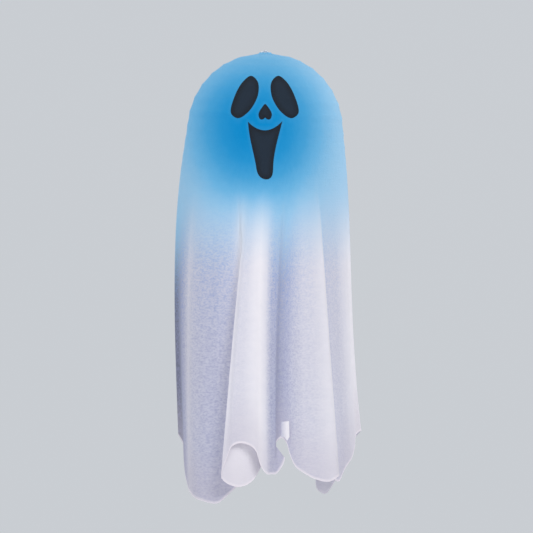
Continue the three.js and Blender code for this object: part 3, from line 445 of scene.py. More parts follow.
def between(points, index, part):
    """A point of the closed centripetal curve through points."""
    p = [points[(index + k - 1) % len(points)] for k in range(4)]
    gaps = [max((b - a).length, 1e-6) ** 0.5 for a, b in zip(p, p[1:])]
    into = ((p[1] - p[0]) / gaps[0] - (p[2] - p[0]) / (gaps[0] + gaps[1]) + (p[2] - p[1]) / gaps[1]) * gaps[1]
    out = ((p[2] - p[1]) / gaps[1] - (p[3] - p[1]) / (gaps[1] + gaps[2]) + (p[3] - p[2]) / gaps[2]) * gaps[1]
    return (p[1] + into * part + (3 * (p[2] - p[1]) - 2 * into - out) * part ** 2
            + (2 * (p[1] - p[2]) + into + out) * part ** 3)


HEM_POINTS = [Vector(point[2:5]) * MM for point in HEM]
Column = namedtuple("Column", "end bearing tone early swing")


def cloth_columns():
    """The columns of the cloth, each with its hem point and the bearing that it comes from."""
    columns = []
    for index, here in enumerate(HEM):
        following = HEM[(index + 1) % len(HEM)]
        width = (following.start - here.start) % 360
        steps = max(LEAST_COLUMNS, ceil(width / COLUMN_WIDTH))
        for step in range(steps):
            part = step / steps
            tone, early, swing = [a + part * (b - a) for a, b in zip(here[5:], following[5:])]
            bearing = radians(here.start + part * width)
            columns.append(Column(between(HEM_POINTS, index, part), bearing, tone, early, swing * MM))
    return columns


def fall_radius(depth):
    """The cloth's radius, before folds, at a depth below the point where it leaves the ball."""
    slope = 1 / tan(LEAVE_ANGLE)
    return CLOTH_R * sin(LEAVE_ANGLE) + FLARE * tanh(slope * depth / FLARE)


def wire_dip(angle, bearing):
    """How far the cloth lies under the ball between two turns of the spiral wire."""
    turn = (angle - FIRST_TURN) / (LAST_TURN - FIRST_TURN) * TURNS
    part = (turn - (bearing - pi / 2) / (2 * pi)) % 1
    return WIRE_DIP * 4 * part * (1 - part)


def crown_sag(radius):
    """How far the cloth has settled at a radius, round the edge of the lantern's top opening."""
    return CROWN_SAG * exp(-((radius - TOP_OPENING_R) / CROWN_SAG_W) ** 2)


def cloth_place(column, row):
    """The outer surface of the cloth in a column, at a row from the crown to the hem."""
    bearing = column.bearing
    first = asin(TOP_OPENING_R / CLOTH_R)
    if row < CROWN_ROWS:
        part = row / CROWN_ROWS
        radius = HOLE_R + (TOP_OPENING_R - HOLE_R) * part ** CROWN_SPACING
        height = CROWN_Z - CROWN_RISE * (radius - HOLE_R) / (TOP_OPENING_R - HOLE_R)
        height += COLLAR_H * (1 - smooth_step(HOLE_R, HOLE_R + COLLAR_W, radius)) - crown_sag(radius)
        gathered = 1 - smooth_step(HOLE_R, TOP_OPENING_R, radius)
        return around(bearing, radius, height + PUCKER_H * gathered * sin(PUCKERS * bearing))
    if row < CROWN_ROWS + DOME_ROWS:
        angle = first + (LEAVE_ANGLE - first) * (row - CROWN_ROWS) / DOME_ROWS
        radius = CLOTH_R - wire_dip(angle, bearing) * smooth_step(first, first + DIP_FADE, angle)
        out = radius * sin(angle)
        return around(bearing, out, HEAD_Z + radius * cos(angle) - crown_sag(out))
    part = 1 - (1 - (row - CROWN_ROWS - DOME_ROWS) / FALL_ROWS) ** FALL_SPACING
    height = LEAVE_Z + part * (column.end.z - LEAVE_Z)
    fall = max((height - FOLD_Z) / (column.end.z - FOLD_Z), 0)
    growth = fall / ((1 / column.early - 2) * (1 - fall) + 1)
    radius = fall_radius(LEAVE_Z - height)
    if height > FOLD_Z:
        angle = acos((height - HEAD_Z) / CLOTH_R)
        radius -= wire_dip(angle, bearing) * (1 - smooth_step(-HEAD_Z, -FOLD_Z, -height))
    late = max(part - SWING_FROM, 0) / (1 - SWING_FROM)
    end = Vector((column.end.x - column.swing, column.end.y, height))
    place = around(bearing, radius, height).lerp(end, growth)
    place.x += column.swing * late - LEAN * sin(pi * part)
    ripple = sum(share * sin(count * bearing + turn * fall) for count, turn, share in RIPPLE_WAVES)
    return place + Vector((place.x, place.y, 0)).normalized() * RIPPLE * fall * ripple


# Finishes

def paint(colour):
    """An sRGB colour out of 255 as the linear values that a shader takes."""
    shares = [value / 255 for value in colour]
    return *[share / 12.92 if share <= 0.04045 else ((share + 0.055) / 1.055) ** 2.4 for share in shares], 1.0


class Shade:
    """A socket of a finish, with the arithmetic that finishes are written in."""

    def __init__(self, finish, socket):
        self.finish, self.socket = finish, socket

    def maths(self, operation, first, second):
        return self.finish.node("ShaderNodeMath", {"operation": operation}, {0: first, 1: second})

    def __add__(self, other):
        return self.maths("ADD", self, other)

    __radd__ = __add__

    def __sub__(self, other):
        return self.maths("SUBTRACT", self, other)

    def __rsub__(self, other):
        return self.maths("SUBTRACT", other, self)

    def __mul__(self, other):
        return self.maths("MULTIPLY", self, other)

    __rmul__ = __mul__

    def ramped(self, low, high, kind="SMOOTHSTEP"):
        """0 below low, 1 above high, smooth between unless another kind is asked for."""
        ends = {"Value": self, "From Min": low, "From Max": high}
        return self.finish.node("ShaderNodeMapRange", {"interpolation_type": kind}, ends)


class Finish:
    """A material and the nodes that make it."""

    def __init__(self, name):
        self.material = bpy.data.materials.new(name)
        self.material.use_nodes = True
        self.tree = self.material.node_tree
        self.surface = self.tree.nodes["Principled BSDF"]

    def node(self, kind, settings=None, inputs=None, output=0):
        """A node of a kind, with settings, with values or shades in its inputs, and one output as a shade."""
        made = self.tree.nodes.new(kind)
        for name, value in (settings or {}).items():
            setattr(made, name, value)
        for name, value in (inputs or {}).items():
            self.join(made.inputs[name], value)
        return Shade(self, made.outputs[output])

    def join(self, socket, value):
        if isinstance(value, Shade):
            self.tree.links.new(value.socket, socket)
        else:
            socket.default_value = value

    def mix(self, factor, first, second):
        """Two colours by a factor, each a shade or an sRGB colour out of 255."""
        first, second = [colour if isinstance(colour, Shade) else paint(colour) for colour in (first, second)]
        return self.node("ShaderNodeMix", {"data_type": "RGBA"}, {0: factor, 6: first, 7: second}, output=2)

    def blend(self, stops, factor):
        """A row of colours by a factor, from stops of (place, colour)."""
        made = self.node("ShaderNodeValToRGB", inputs={0: factor})
        elements = made.socket.node.color_ramp.elements
        while len(elements) < len(stops):
            elements.new(1)
        for element, (place, colour) in zip(elements, stops):
            element.position = place
            element.color = paint(colour)
        return made

    def place(self, axis):
        """One of the object's own coordinates, in metres."""
        here = self.node("ShaderNodeTexCoord", output="Object")
        return self.node("ShaderNodeSeparateXYZ", inputs={0: here}, output="XYZ".index(axis))

    def grain(self, scale, detail, stretch=(1, 1, 1), source="Object", roughness=0.5):
        """Noise from 0 to 1 on the object's coordinates or its UV map."""
        here = self.node("ShaderNodeTexCoord", output=source)
        here = self.node("ShaderNodeMapping", inputs={"Vector": here, "Scale": stretch})
        inputs = {"Vector": here, "Scale": scale, "Detail": detail, "Roughness": roughness}
        return self.node("ShaderNodeTexNoise", inputs=inputs)

    def bump(self, height, strength, distance):
        inputs = {"Height": height, "Strength": strength, "Distance": distance}
        return self.node("ShaderNodeBump", inputs=inputs)

    def set(self, **sockets):
        """Sets the shader's sockets, named with underscores for spaces."""
        for name, value in sockets.items():
            self.join(self.surface.inputs[name.replace("_", " ")], value)
        return self.material


# The cloth's colours: the painted glow of the battery light inside it, and unlit from dark to light by the
# folds' tone, which is painted shade and light, partly a single layer against a doubled one
GLOW_COLOURS = [
    (0.0, (176, 210, 236)), (0.2, (150, 200, 233)), (0.4, (110, 184, 229)),
    (0.6, (72, 166, 220)), (0.8, (38, 151, 212)), (1.0, (0, 140, 206)),
]
UNLIT_SHADE_COLOURS = [(0.0, (84, 88, 104)), (0.5, (186, 188, 208)), (1.0, (238, 234, 239))]
SPECKLE_HIGH = (130, 160, 212)
SPECKLE_LOW = (156, 158, 192)
HEM_TINT = (240, 232, 238)
HEM_SHADE_TINT = (200, 192, 204)
GLOW_STRENGTH = 0.5
SKIN_GLOW_DEPTH = 200 * MM
THROUGH_SHARE = 0.3  # the part of the unlit cloth's colour that light from behind it gives


def attribute(finish, name):
    return finish.node("ShaderNodeAttribute", {"attribute_name": name}, output="Fac")


CLOTH_LAYERS = ("glow", "lit", "tone", "hem", "hem_shade", "face_halo")


@cache
def sheer_cloth():
    finish = Finish("sheer_cloth")
    glow, lit_part, tone, hem, hem_shade, halo = [attribute(finish, name) for name in CLOTH_LAYERS]
    blotch = finish.grain(90, 4, source="UV")
    mottle = finish.grain(190, 3, source="UV").ramped(0.34, 0.7)
    speckle = finish.grain(430, 2, source="UV").ramped(0.4, 0.66)
    # painted shade and light: the unlit cloth darker on dark folds, lighter on light ones
    unlit = finish.blend(UNLIT_SHADE_COLOURS, tone + 0.10 * (blotch - 0.5))
    # painted glow: the speckle bluer higher up, nearer the battery light
    speckle_glow = finish.mix(finish.place("Z").ramped(*SPECKLE_GLOW_HEIGHTS), SPECKLE_LOW, SPECKLE_HIGH)
    unlit = finish.mix((1 - tone.ramped(0.45, 0.95)) * (0.36 * mottle + 0.5 * speckle), unlit, speckle_glow)
    # painted shade: greyer towards the hem
    unlit = finish.mix(hem_shade * 0.38, unlit, HEM_SHADE_TINT)
    unlit = finish.mix(hem * 0.85, unlit, HEM_TINT)
    lit = finish.blend(GLOW_COLOURS, glow + 0.08 * (blotch - 0.5))
    lit = finish.mix(halo * 0.10, lit, (120, 190, 236))
    colour = finish.mix(lit_part, unlit, lit)
    through = finish.mix(THROUGH_SHARE, (0, 0, 0), colour)
    glowing = lit_part * glow.ramped(0.0, 0.6)
    shine = finish.mix(glowing, through, lit)
    dimmed = finish.mix(glowing * GLOW_STRENGTH, colour, (0, 0, 0))
    across = finish.node("ShaderNodeTexCoord", output="UV")
    weave = {"Vector": across, "Scale": WEAVE_SCALE}
    warp, weft = [finish.node("ShaderNodeTexWave", {"bands_direction": way}, weave) for way in "XY"]
    relief = finish.bump(warp * 0.4 + weft * 0.4 + mottle * 0.4 + speckle * 0.8, 0.35, 0.3 * MM)
    finish.set(Sheen_Weight=0.08, Sheen_Roughness=0.5, Sheen_Tint=(0.85, 0.92, 1, 1), Specular_IOR_Level=0.1)
    return finish.set(Base_Color=dimmed, Roughness=0.85, Emission_Color=shine,
                      Emission_Strength=GLOW_STRENGTH, Normal=relief)


@cache
def face_felt():
    finish = Finish("face_felt")
    fibres = finish.grain(900, 6, roughness=0.7)
    middle = attribute(finish, "inside")
    # painted shade: the felt darker at its edge, lighter in its middle
    colour = finish.mix(middle, (12, 20, 30), (22, 38, 54))
    colour = finish.mix(fibres.ramped(0.35, 0.75) * 0.3, colour, (46, 60, 76))
    return finish.set(Base_Color=colour, Roughness=0.92, Sheen_Weight=0.06, Sheen_Roughness=0.4,
                      Normal=finish.bump(fibres, 0.6, 0.25 * MM))


@cache
def lantern_cloth():
    finish = Finish("lantern_cloth")
    threads = finish.grain(700, 5)
    patches = finish.grain(35, 3)
    colour = finish.mix(patches.ramped(0.35, 0.7) * 0.5, (240, 241, 240), (222, 226, 232))
    colour = finish.mix(threads.ramped(0.4, 0.75) * 0.3, colour, (206, 212, 222))
    ends, middle = (20, 90, 150), (40, 150, 225)
    up = finish.place("Z").ramped(-SKIN_GLOW_DEPTH, 0, "LINEAR")
    glow = finish.blend([(0.0, ends), (0.5, middle), (1.0, ends)], up)
    return finish.set(Base_Color=colour, Roughness=0.8, Emission_Color=glow, Emission_Strength=0.25,
                      Normal=finish.bump(threads, 0.4, 0.2 * MM))


@cache
def drawn_steel():
    finish = Finish("drawn_steel")
    streaks = finish.grain(260, 5, (1, 1, 6))
    colour = finish.mix(streaks, (150, 153, 158), (196, 199, 203))
    return finish.set(Base_Color=colour, Metallic=1.0, Roughness=0.22 + 0.25 * streaks,
                      Normal=finish.bump(streaks, 0.2, 0.05 * MM))


@cache
def coated_wire():
    finish = Finish("coated_wire")
    ripple = finish.grain(420, 4)
    colour = finish.mix(ripple, (224, 227, 232), (240, 242, 244))
    return finish.set(Base_Color=colour, Roughness=0.28 + 0.2 * ripple, Coat_Weight=0.3, Coat_Roughness=0.2,
                      Normal=finish.bump(ripple, 0.25, 0.05 * MM))


@cache
def white_moulding():
    finish = Finish("white_moulding")
    texture = finish.grain(1500, 3)
    flow = finish.grain(28, 3)
    colour = finish.mix(flow.ramped(0.35, 0.7) * 0.6, (233, 233, 228), (222, 223, 220))
    return finish.set(Base_Color=colour, Roughness=0.38 + 0.2 * texture,
                      Normal=finish.bump(texture, 0.25, 0.05 * MM))


@cache
def black_moulding():
    finish = Finish("black_moulding")
    texture = finish.grain(1700, 3)
    colour = finish.mix(texture, (26, 27, 31), (44, 45, 50))
    return finish.set(Base_Color=colour, Roughness=0.4 + 0.2 * texture,
                      Normal=finish.bump(texture, 0.3, 0.05 * MM))


@cache
def frosted_dome():
    finish = Finish("frosted_dome")
    frost = finish.grain(1100, 4)
    low = finish.place("Z").ramped(*DOME_LIT)
    colour = finish.mix(low, (214, 234, 246), (238, 243, 246))
    colour = finish.mix(frost.ramped(0.4, 0.7) * 0.25, colour, (196, 220, 238))
    glow = finish.mix(low, (150, 214, 250), (40, 120, 190))
    return finish.set(Base_Color=colour, Roughness=0.45 + 0.2 * frost, Emission_Color=glow,
                      Emission_Strength=0.55, Coat_Weight=0.15, Normal=finish.bump(frost, 0.3, 0.05 * MM))


@cache
def led_resin():
    finish = Finish("led_resin")
    haze = finish.grain(500, 3)
    colour = finish.mix(haze, (176, 218, 248), (206, 234, 252))
    glow = finish.mix(haze, (120, 200, 255), (170, 226, 255))
    return finish.set(Base_Color=colour, Roughness=0.08 + 0.1 * haze, Emission_Color=glow,
                      Emission_Strength=1.2, Coat_Weight=0.6, Coat_Roughness=0.05)


@cache
def board_mask():
    finish = Finish("board_mask")
    rings = {"Vector": finish.node("ShaderNodeTexCoord", output="Object"), "Scale": 60.0, "Distortion": 2.0}
    tracks = finish.node("ShaderNodeTexWave", {"wave_type": "RINGS", "rings_direction": "Z"}, rings)
    tracks = tracks.ramped(0.78, 0.86)
    grit = finish.grain(800, 3)
    colour = finish.mix(tracks * 0.5, (236, 238, 232), (206, 214, 204))
    colour = finish.mix(grit * 0.2, colour, (214, 214, 206))
    return finish.set(Base_Color=colour, Roughness=0.35 + 0.15 * grit,
                      Normal=finish.bump(tracks, 0.3, 0.1 * MM))


@cache
def cell_sleeve():
    finish = Finish("cell_sleeve")
    brushed = finish.grain(300, 4, (1, 1, 0.1))
    height = finish.place("Z")
    foot, head = [height.ramped(at - CELL_BAND_EDGE, at + CELL_BAND_EDGE) for at in CELL_BAND]
    colour = finish.mix(brushed * 0.6, (96, 101, 108), (132, 137, 143))
    colour = finish.mix(foot * (1 - head), colour, (190, 194, 198))
    colour = finish.mix(attribute(finish, "sleeve"), (206, 206, 202), colour)
    return finish.set(Base_Color=colour, Metallic=0.85, Roughness=0.3 + 0.2 * brushed,
                      Normal=finish.bump(brushed, 0.2, 0.04 * MM))


@cache
def nickel_plate(name="nickel_plate", light=208):
    finish = Finish(name)
    brushed = finish.grain(420, 4, (1, 1, 4))
    tarnish = finish.grain(140, 3).ramped(0.5, 0.8)
    worn = (light - 30, light - 31, light - 35)
    colour = finish.mix(brushed * 0.6, worn, (light, light, light - 4))
    colour = finish.mix(tarnish * 0.3, colour, (150, 142, 128))
    return finish.set(Base_Color=colour, Metallic=1.0, Roughness=0.2 + 0.25 * brushed,
                      Normal=finish.bump(brushed, 0.2, 0.04 * MM))


# Pieces: ghost

def far_from_outline(outline, x, z):
    """The distance from a place to a closed outline in the XZ plane, in metres, negative inside."""
    near, inside = 1.0, False
    for (ax, az), (bx, bz) in zip(outline, outline[1:] + outline[:1]):
        dx, dz = bx - ax, bz - az
        part = min(max(((x - ax) * dx + (z - az) * dz) / (dx * dx + dz * dz + 1e-18), 0), 1)
        near = min(near, hypot(x - ax - part * dx, z - az - part * dz))
        if (az > z) != (bz > z) and x < ax + (z - az) / (bz - az) * dx:
            inside = not inside
    return -near if inside else near


def on_head(points):
    """Places in the XZ plane, from points in hundredths of the head's radius."""
    return [(x * FACE_UNIT, HEAD_Z + z * FACE_UNIT) for x, z in points]


def smooth_outline(points):
    """The closed curve through an outline's points."""
    loop, steps = [Vector((x, 0, z)) for x, z in points], 12
    return on_head(between(loop, at, step / steps).xz for at in range(len(loop)) for step in range(steps))


def bezier(points, part):
    """A place on the Bezier curve with the given control points."""
    while len(points) > 1:
        points = [[a + part * (b - a) for a, b in zip(*pair)] for pair in zip(points, points[1:])]
    return points[0]


def mouth_outline():
    """The mouth's upper edge from left to right, and its sides and lower edge from there on round."""
    (left, right), steps = MOUTH_CORNERS, 24
    curves = [(left, MOUTH_DIP, right)]
    for side in MOUTH_SIDES:
        curves.append((curves[-1][-1], *side))
    return on_head(bezier(curve, step / steps) for curve in curves for step in range(steps))


def face_outlines():
    nose = [NOSE_TOP, *NOSE_RIGHT, NOSE_BOTTOM, *[(-x, z) for x, z in reversed(NOSE_RIGHT)]]
    return {
        "left_eye_patch": smooth_outline([(-x, z) for x, z in EYE_OUTLINE]),
        "right_eye_patch": smooth_outline([(x + RIGHT_EYE_SHIFT, z) for x, z in EYE_OUTLINE]),
        "nose_patch": smooth_outline(nose),
        "mouth_patch": mouth_outline(),
    }


def touched_from_front(surface, x, z):
    """Where a surface is first met from the front, or None."""
    return surface.ray_cast(Vector((x, -1, z)), -TO_FRONT)[0]


def felt_patch(node, outline, cloth_front):
    """A felt shape on the front of the head: its outline is filled, diced and laid on the cloth."""
    cuts = []
    for values in zip(*outline):
        first, end = [ceil(value / PATCH_CELL) for value in (min(values), max(values))]
        cuts.append([index * PATCH_CELL for index in range(first, end)])
    work = diced(outline, *cuts)
    inside = work.verts.layers.float.new("inside")
    for vert in work.verts:
        depth = -far_from_outline(outline, vert.co.x, vert.co.z)
        vert[inside] = smooth_step(*PATCH_SHADE, depth)
        rounding = smooth_step(0, PATCH_ROUNDING, depth)
        touched = touched_from_front(cloth_front, vert.co.x, vert.co.z)
        vert.co.y = touched.y - PATCH_OFF - PATCH_T * (PATCH_EDGE + (1 - PATCH_EDGE) * rounding)
    face_along(work, lambda face: TO_FRONT)
    smooth_faces(work, radians(70))
    patch = keep_piece(node + "_felt", work, face_felt(), "lantern", node)
    thicken(patch, PATCH_SHEET_T)
    return patch


def glow_at(place):
    """How strongly the battery light shows through the cloth at a place, from 0 to 1."""
    down = smooth_step(*GLOW_DOWN, place.z)
    up = 1 - GLOW_UP_LOSS * smooth_step(*GLOW_UP, place.z)
    across = 1 - GLOW_SIDE_LOSS * smooth_step(*GLOW_SIDES, abs(place.x - GLOW_X))
    return down * up * across


def ghost_cloth(outlines):
    """The ghost's cloth, one sheet from the crown hole to the hem, and the surface that its face lies on."""
    rows = CROWN_ROWS + DOME_ROWS + FALL_ROWS
    columns = cloth_columns()
    count = len(columns)
    places = [[cloth_place(column, row) for row in range(rows + 1)] for column in columns]
    lengths = [[0] for _ in columns]
    for length, place in zip(lengths, places):
        for above, below in zip(place, place[1:]):
            length.append(length[-1] + (below - above).length)
    work = bmesh.new()
    bmesh.ops.create_grid(work, x_segments=count, y_segments=rows, size=0.5)
    uv = work.loops.layers.uv.new("UVMap")
    layers = [work.verts.layers.float.new(name) for name in CLOTH_LAYERS]
    grid = {vert: (round((vert.co.x + 0.5) * count), round((vert.co.y + 0.5) * rows)) for vert in work.verts}
    for face in work.faces:
        for loop in face.loops:
            column, row = grid[loop.vert]
            loop[uv].uv = (column / count * 2 * pi * CLOTH_R, lengths[column % count][row])
    for vert, (column, row) in grid.items():
        column %= count
        here = places[column][row]
        vert.co = here
        left = lengths[column][rows] - lengths[column][row]
        folded = smooth_step(*FOLDED_DEPTHS, -here.z)
        # painted shade and light: each fold's tone, darker or lighter than the head's
        darker = (HEAD_TONE - columns[column].tone) * folded
        lit = smooth_step(*LIT_HEIGHTS, here.z + LIT_SHIFT * darker)
        glow = min(max(glow_at(here) + FOLD_GLOW * folded * darker * lit, 0), 1)
        near_face = 0
        if here.y < 0 and row > CROWN_ROWS and here.z > FOLD_Z - HALO_END:
            off = min(far_from_outline(outline, here.x, here.z) for outline in outlines.values())
            near_face = 1 - smooth_step(0, HALO_W, off)
        hem = 1 - smooth_step(*HEM_BAND, left)
        hem_shade = 1 - smooth_step(0, HEM_SHADE_BAND, left)
        for layer, value in zip(layers, (glow, lit, HEAD_TONE - darker, hem, hem_shade, near_face)):
            vert[layer] = value
    bmesh.ops.remove_doubles(work, verts=work.verts, dist=JOIN)
    face_along(work, lambda face: face.calc_center_median() * Vector((1, 1, 0)))
    smooth_faces(work, radians(80))
    surface = BVHTree.FromBMesh(work)
    cloth = keep_piece("ghost_cloth", work, sheer_cloth(), "lantern", "shroud")
    thicken(cloth, CLOTH_SHEET_T)
    return cloth, surface


def turned_corner(surface):
    """The small corner of the hem that is turned up above the notch."""
    outline = [(x * MM, z * MM) for x, z in CORNER_OUTLINE]
    work = diced(outline, *[[at * MM for at in places] for places in CORNER_CUTS])
    uv = work.loops.layers.uv.new("UVMap")
    tone = work.verts.layers.float.new("tone")
    for vert in work.verts:
        raised = smooth_step(*CORNER_RISE, vert.co.x)
        touched = touched_from_front(surface, vert.co.x, vert.co.z)
        if touched:
            depth = touched.y
        # painted light: the corner lighter where it stands clear of the cloth
        vert[tone] = 0.7 + 0.3 * raised
        vert.co.y = depth + CORNER_SUNK - CORNER_PROUD * raised
    for face in work.faces:
        for loop in face.loops:
            loop[uv].uv = loop.vert.co.xz
    face_along(work, lambda face: TO_FRONT)
    smooth_faces(work, radians(70))
    corner = keep_piece("turned_hem_corner", work, sheer_cloth(), "lantern")
    thicken(corner, CORNER_T)
    return corner


def make_ghost():
    outlines = face_outlines()
    cloth, surface = ghost_cloth(outlines)
    patches = [felt_patch(node, outline, surface) for node, outline in outlines.items()]
    corner = turned_corner(surface)


# Pieces: lantern

def lantern_skin():
    """The ball's skin, ridged over the spiral wire and ending at the two rings."""
    columns, rows = 200, 110
    work = bmesh.new()
    bmesh.ops.create_grid(work, x_segments=columns, y_segments=rows, size=0.5)
    for vert in work.verts:
        bearing = (vert.co.x + 0.5) * 2 * pi
        angle = TOP_ANGLE + (BOTTOM_ANGLE - TOP_ANGLE) * (vert.co.y + 0.5)
        near_ring = min(angle - TOP_ANGLE, BOTTOM_ANGLE - angle)
        radius = SKIN_R - wire_dip(angle, bearing) * smooth_step(0, RIDGE_FADE, near_ring)
        vert.co = around(bearing, radius * sin(angle), HEAD_Z + radius * cos(angle))
    bmesh.ops.remove_doubles(work, verts=work.verts, dist=JOIN)
    face_along(work, lambda face: face.calc_center_median() - Vector((0, 0, HEAD_Z)))
    smooth_faces(work)
    skin = keep_piece("lantern_ball", work, lantern_cloth(), "lantern", "lantern_skin")
    thicken(skin, SKIN_SHEET_T)


def spiral_wire():
    steps_a_turn = 72
    count = round(TURNS * steps_a_turn)
    points = []
    for step in range(count + 1):
        angle = FIRST_TURN + (LAST_TURN - FIRST_TURN) * step / count
        turn = 2 * pi * TURNS * step / count
        radius, height = SPIRAL_SPHERE_R * sin(angle), HEAD_Z + SPIRAL_SPHERE_R * cos(angle)
        points.append((radius * cos(turn), radius * sin(turn), height))
    work = bent_wire(points, SPIRAL_WIRE_R, 2)
    keep_piece("spiral_rib", work, drawn_steel(), "lantern", "spiral_wire")


def expander():
    steps = 48
    turns = [EYE_CLOSE + (2 * pi - 2 * EYE_CLOSE) * step / steps for step in range(steps)]
    eye = [Vector((EYE_R * sin(turn), 0, EYE_Z - EYE_R * cos(turn))) for turn in turns]
    half = rounded_path([
        (BOTTOM_OPENING_R + FOOT_OUT, FOOT_Z),
        (BOTTOM_OPENING_R - FOOT_IN, FOOT_Z),
        (TOP_OPENING_R + LEG_OUT, BRIDGE_Z),
        (EYE_NECK, BRIDGE_Z),
        eye.pop(0).xz,
    ], BEND_R, 10)
    other = [Vector((-point.x, 0, point.z)) for point in reversed(half)]
    work = bent_wire(half + eye + other, EXPANDER_WIRE_R, 5)
    keep_piece("bent_expander", work, coated_wire(), "lantern", "expander")


def make_lantern():
    lantern_skin()
    spiral_wire()
    expander()
    rings = (("top_ring", TOP_OPENING_R, TOP_RING_Z), ("bottom_ring", BOTTOM_OPENING_R, BOTTOM_RING_Z))
    for node, ring_r, height in rings:
        work = wire_ring(ring_r, height, RING_WIRE_R)
        keep_piece(node + "_wire", work, drawn_steel(), "lantern", node)


# Pieces: battery light

def quarter(radius, middle, depth, steps):
    """A quarter of an ellipse in (radius, height), from its widest place down to the axis."""
    turns = [pi / 2 * step / steps for step in range(steps + 1)]
    return [(radius * cos(turn), middle - depth * sin(turn)) for turn in turns]


def dome_shade():
    """The frosted dome under the lamps, with the flange that the base's lip holds."""
    low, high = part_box("diffuser_dome")
    flange = high.z - DOME_FLANGE_T
    middle = flange - GAP - DOME_NECK
    inner_r, depth = DOME_R - DOME_WALL, middle - low.z
    outside = [(high.x, high.z), (high.x, flange), (DOME_R, flange), *quarter(DOME_R, middle, depth, 24)]
    inside = [(inner_r, high.z), *quarter(inner_r, middle, depth - DOME_WALL, 24)]
    work = turned([*reversed(outside), *inside], 96)
    smooth_faces(work, radians(50))
    keep_piece("dome_shade", work, frosted_dome(), "lamp", "diffuser_dome")


def led_lamp(node):
    low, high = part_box(node)
    collar = high.z - LED_FLANGE_H
    profile = [(0, high.z), (LED_FLANGE_R - LED_EDGE, high.z), (LED_FLANGE_R, high.z - LED_EDGE),
               (LED_FLANGE_R, collar), (LED_R, collar), *quarter(LED_R, low.z + LED_R, LED_R, 10)]
    work = turned(profile, 32, ((low + high) / 2).xy)
    smooth_faces(work, radians(40))
    keep_piece(node + "_resin", work, led_resin(), "lamp", node)


def dry_cell(node, up):
    """A cell with its sleeve's crimped rims and its raised positive end, which is at the top if up."""
    low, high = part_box(node)
    profile = [(radius * MM, height * MM) for radius, height in CELL_PROFILE]
    heights = [(radius, low.z + height if up else high.z - height) for radius, height in profile]
    middle = ((low + high) / 2).xy
    work = turned(heights, 56, middle)
    sleeve = work.verts.layers.float.new("sleeve")
    for vert in work.verts:
        vert[sleeve] = (vert.co.xy - middle).length > CELL_SLEEVE_FROM
    smooth_faces(work, radians(50))
    keep_piece(node + "_can", work, cell_sleeve(), "lamp", node)


def cross_cutter():
    """The cross-shaped block that a screw's recess is cut with, round the middle of its head's outer face."""
    end, side = RECESS_L / 2, RECESS_W / 2
    quarter_turn = Matrix.Rotation(pi / 2, 3, "Z")
    outline, arm = [], [Vector((end, -side, 0)), Vector((end, side, 0)), Vector((side, side, 0))]
    for _ in range(4):
        outline += arm
        arm = [quarter_turn @ corner for corner in arm]
    work = bmesh.new()
    floor = work.faces.new([work.verts.new((x, y, -RECESS_DEPTH)) for x, y, _ in outline])
    lifted = bmesh.ops.extrude_face_region(work, geom=[floor])["geom"]
    tops = [part for part in lifted if isinstance(part, bmesh.types.BMVert)]
    bmesh.ops.translate(work, verts=tops, vec=(0, 0, 2 * RECESS_DEPTH))
    bmesh.ops.recalc_face_normals(work, faces=work.faces)
    return work


def cross_screw(node, body, facing):
    """A pan-head screw with a cross recess, in a node's place, its head looking in the given direction."""
    low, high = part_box(node)
    facing = Vector(facing)
    length = abs((high - low).dot(facing))
    radius, shank = SCREW_HEAD_R, SCREW_R
    profile = [(0, 0), (0.6 * radius, 0), (0.85 * radius, 0.1 * SCREW_HEAD_H),
               (0.97 * radius, 0.35 * SCREW_HEAD_H), (radius, 0.7 * SCREW_HEAD_H), (radius, SCREW_HEAD_H),
               (shank, SCREW_HEAD_H), (shank, length - SCREW_POINT), (0.4 * shank, length), (0, length)]
    work = carved(turned(profile, SCREW_SIDES), cross_cutter())
    move = Matrix.Translation((low + high) / 2 + facing * length / 2)
    turn = Vector((0, 0, -1)).rotation_difference(facing).to_matrix().to_4x4()
    bmesh.ops.transform(work, verts=work.verts, matrix=move @ turn)
    smooth_faces(work, radians(32))
    keep_piece(node + "_steel", work, nickel_plate("zinc_screw", 200), body, node)


def make_light():
    for node, body, finish, slot, edge_r, pierced in (
        ("lamp_case", "lamp", white_moulding(), "white_plastic", 0.3 * MM, True),
        ("battery_door", "door", white_moulding(), "white_plastic", 0.25 * MM, True),
        ("lamp_base", "lamp", white_moulding(), "white_plastic", 0.3 * MM, False),
        ("switch_slider", "switch", black_moulding(), "black_plastic", 0.12 * MM, False),
    ):
        piece = keep_piece(node + "_moulding", moulded_copy(node, edge_r, pierced), finish, body, node)
        piece.modifiers.new("even_shading", "WEIGHTED_NORMAL").keep_sharp = True
    dome_shade()
    for node in ("led_1", "led_2", "led_3"):
        led_lamp(node)
    for node, up in (("cell_left", True), ("cell_middle", False), ("cell_right", True)):
        dry_cell(node, up)
    cross_screw("door_screw", "door", (0, 1, 0))
    for node in ("base_screw_left", "base_screw_right"):
        cross_screw(node, "lamp", (0, 0, -1))
    for node, finish in (
        ("led_board", board_mask()), ("switch_body", drawn_steel()),
        ("contact_negative", nickel_plate()), ("contact_positive", nickel_plate()),
        ("contact_bridge_upper", nickel_plate()), ("contact_bridge_lower", nickel_plate()),
    ):
        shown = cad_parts[node]
        shown.data.materials.clear()
        shown.data.materials.append(finish)


# Stage

FLOOR_Z = -0.76
STAGE_R = 6.0
STAGE_BEND = 2.2
WALL_H = 4.0
WALL_FADE = 1.5 ** 2, 3.2 ** 2  # squared distances between which the stage turns into its even backdrop
CAMERA_FAR = 20.0
PICTURE_W = 0.7196  # the width of the picture at the object
LOOK_AT = Vector((1.8 * MM, 0, -290 * MM))
SENSOR_W = 36  # millimetres
LIGHT_AT = Vector((0, 0, -300 * MM))
ROOM_COLOUR = (0.89, 0.9, 0.92, 1)
ROOM_STRENGTH = 0.48


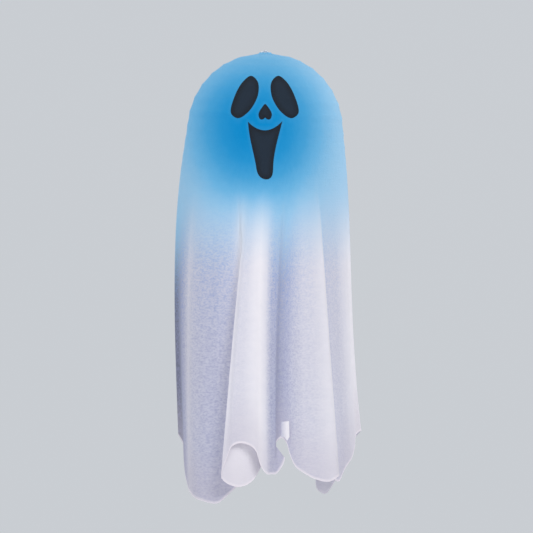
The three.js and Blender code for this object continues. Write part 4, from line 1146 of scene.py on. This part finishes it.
def make_stage():
    finish = Finish("pale_stage")
    tone = finish.grain(0.8, 2)
    pale = finish.mix(tone * 0.3, (202, 206, 211), (197, 201, 207))
    finish.set(Base_Color=pale, Roughness=0.9, Specular_IOR_Level=0.1)
    seen = finish.node("ShaderNodeLightPath", output="Is Camera Ray")
    for kind in ("Is Glossy Ray", "Is Transmission Ray"):
        seen = seen.maths("MAXIMUM", seen, finish.node("ShaderNodeLightPath", output=kind))
    x, y = finish.place("X"), finish.place("Y")
    wall = (x * x + y * y).ramped(*WALL_FADE)
    even = finish.node("ShaderNodeEmission", inputs={"Color": pale, "Strength": 1.0})
    behind = finish.node("ShaderNodeNewGeometry", output="Backfacing")
    clear = finish.node("ShaderNodeBsdfTransparent")
    surface = Shade(finish, finish.surface.outputs[0])
    shown = finish.node("ShaderNodeMixShader", inputs={0: seen * wall, 1: surface, 2: even})
    shown = finish.node("ShaderNodeMixShader", inputs={0: behind, 1: shown, 2: clear})
    finish.join(finish.tree.nodes["Material Output"].inputs["Surface"], shown)
    inner_r, steps = STAGE_R - STAGE_BEND, 12
    turns = [pi / 2 * step / steps for step in range(steps + 1)]
    bend = [(inner_r + STAGE_BEND * sin(turn), FLOOR_Z + STAGE_BEND * (1 - cos(turn))) for turn in turns]
    work = turned([(0, FLOOR_Z), *bend, (STAGE_R, FLOOR_Z + WALL_H)], 96)
    face_along(work, lambda face: Vector((0, 0, 1)))
    smooth_faces(work)
    floor = from_work("floor", work, finish.material)


def make_lighting():
    for name, place, size, power in (
        ("key", (1.4, -3.0, 1.5), 1.8, 54),
        ("fill", (-2.6, -2.6, -0.2), 2.4, 40),
        ("rim", (2.2, 2.0, 1.2), 1.4, 36),
        ("back", (-2.0, 2.4, 1.6), 1.8, 26),
    ):
        light = bpy.data.lights.new(name, "AREA")
        light.shape, light.size, light.energy = "DISK", size, power
        lamp = in_scene(name, light)
        lamp.location = place
        lamp.rotation_euler = (LIGHT_AT - Vector(place)).to_track_quat("-Z", "Y").to_euler()
    world = bpy.data.worlds.new("pale_room")
    world.use_nodes = True
    background = world.node_tree.nodes["Background"].inputs
    background["Color"].default_value, background["Strength"].default_value = ROOM_COLOUR, ROOM_STRENGTH
    bpy.context.scene.world = world


def make_camera():
    eye = bpy.data.cameras.new("camera")
    eye.sensor_width = SENSOR_W
    eye.lens = SENSOR_W * CAMERA_FAR / PICTURE_W
    camera = in_scene("camera", eye)
    camera.location = LOOK_AT + Vector((0, -CAMERA_FAR, 0))
    camera.rotation_euler = (pi / 2, 0, 0)
    bpy.context.scene.camera = camera
    bpy.context.scene.view_settings.view_transform = "Standard"


make_camera()
make_ghost()
make_lantern()
make_light()
make_stage()
make_lighting()
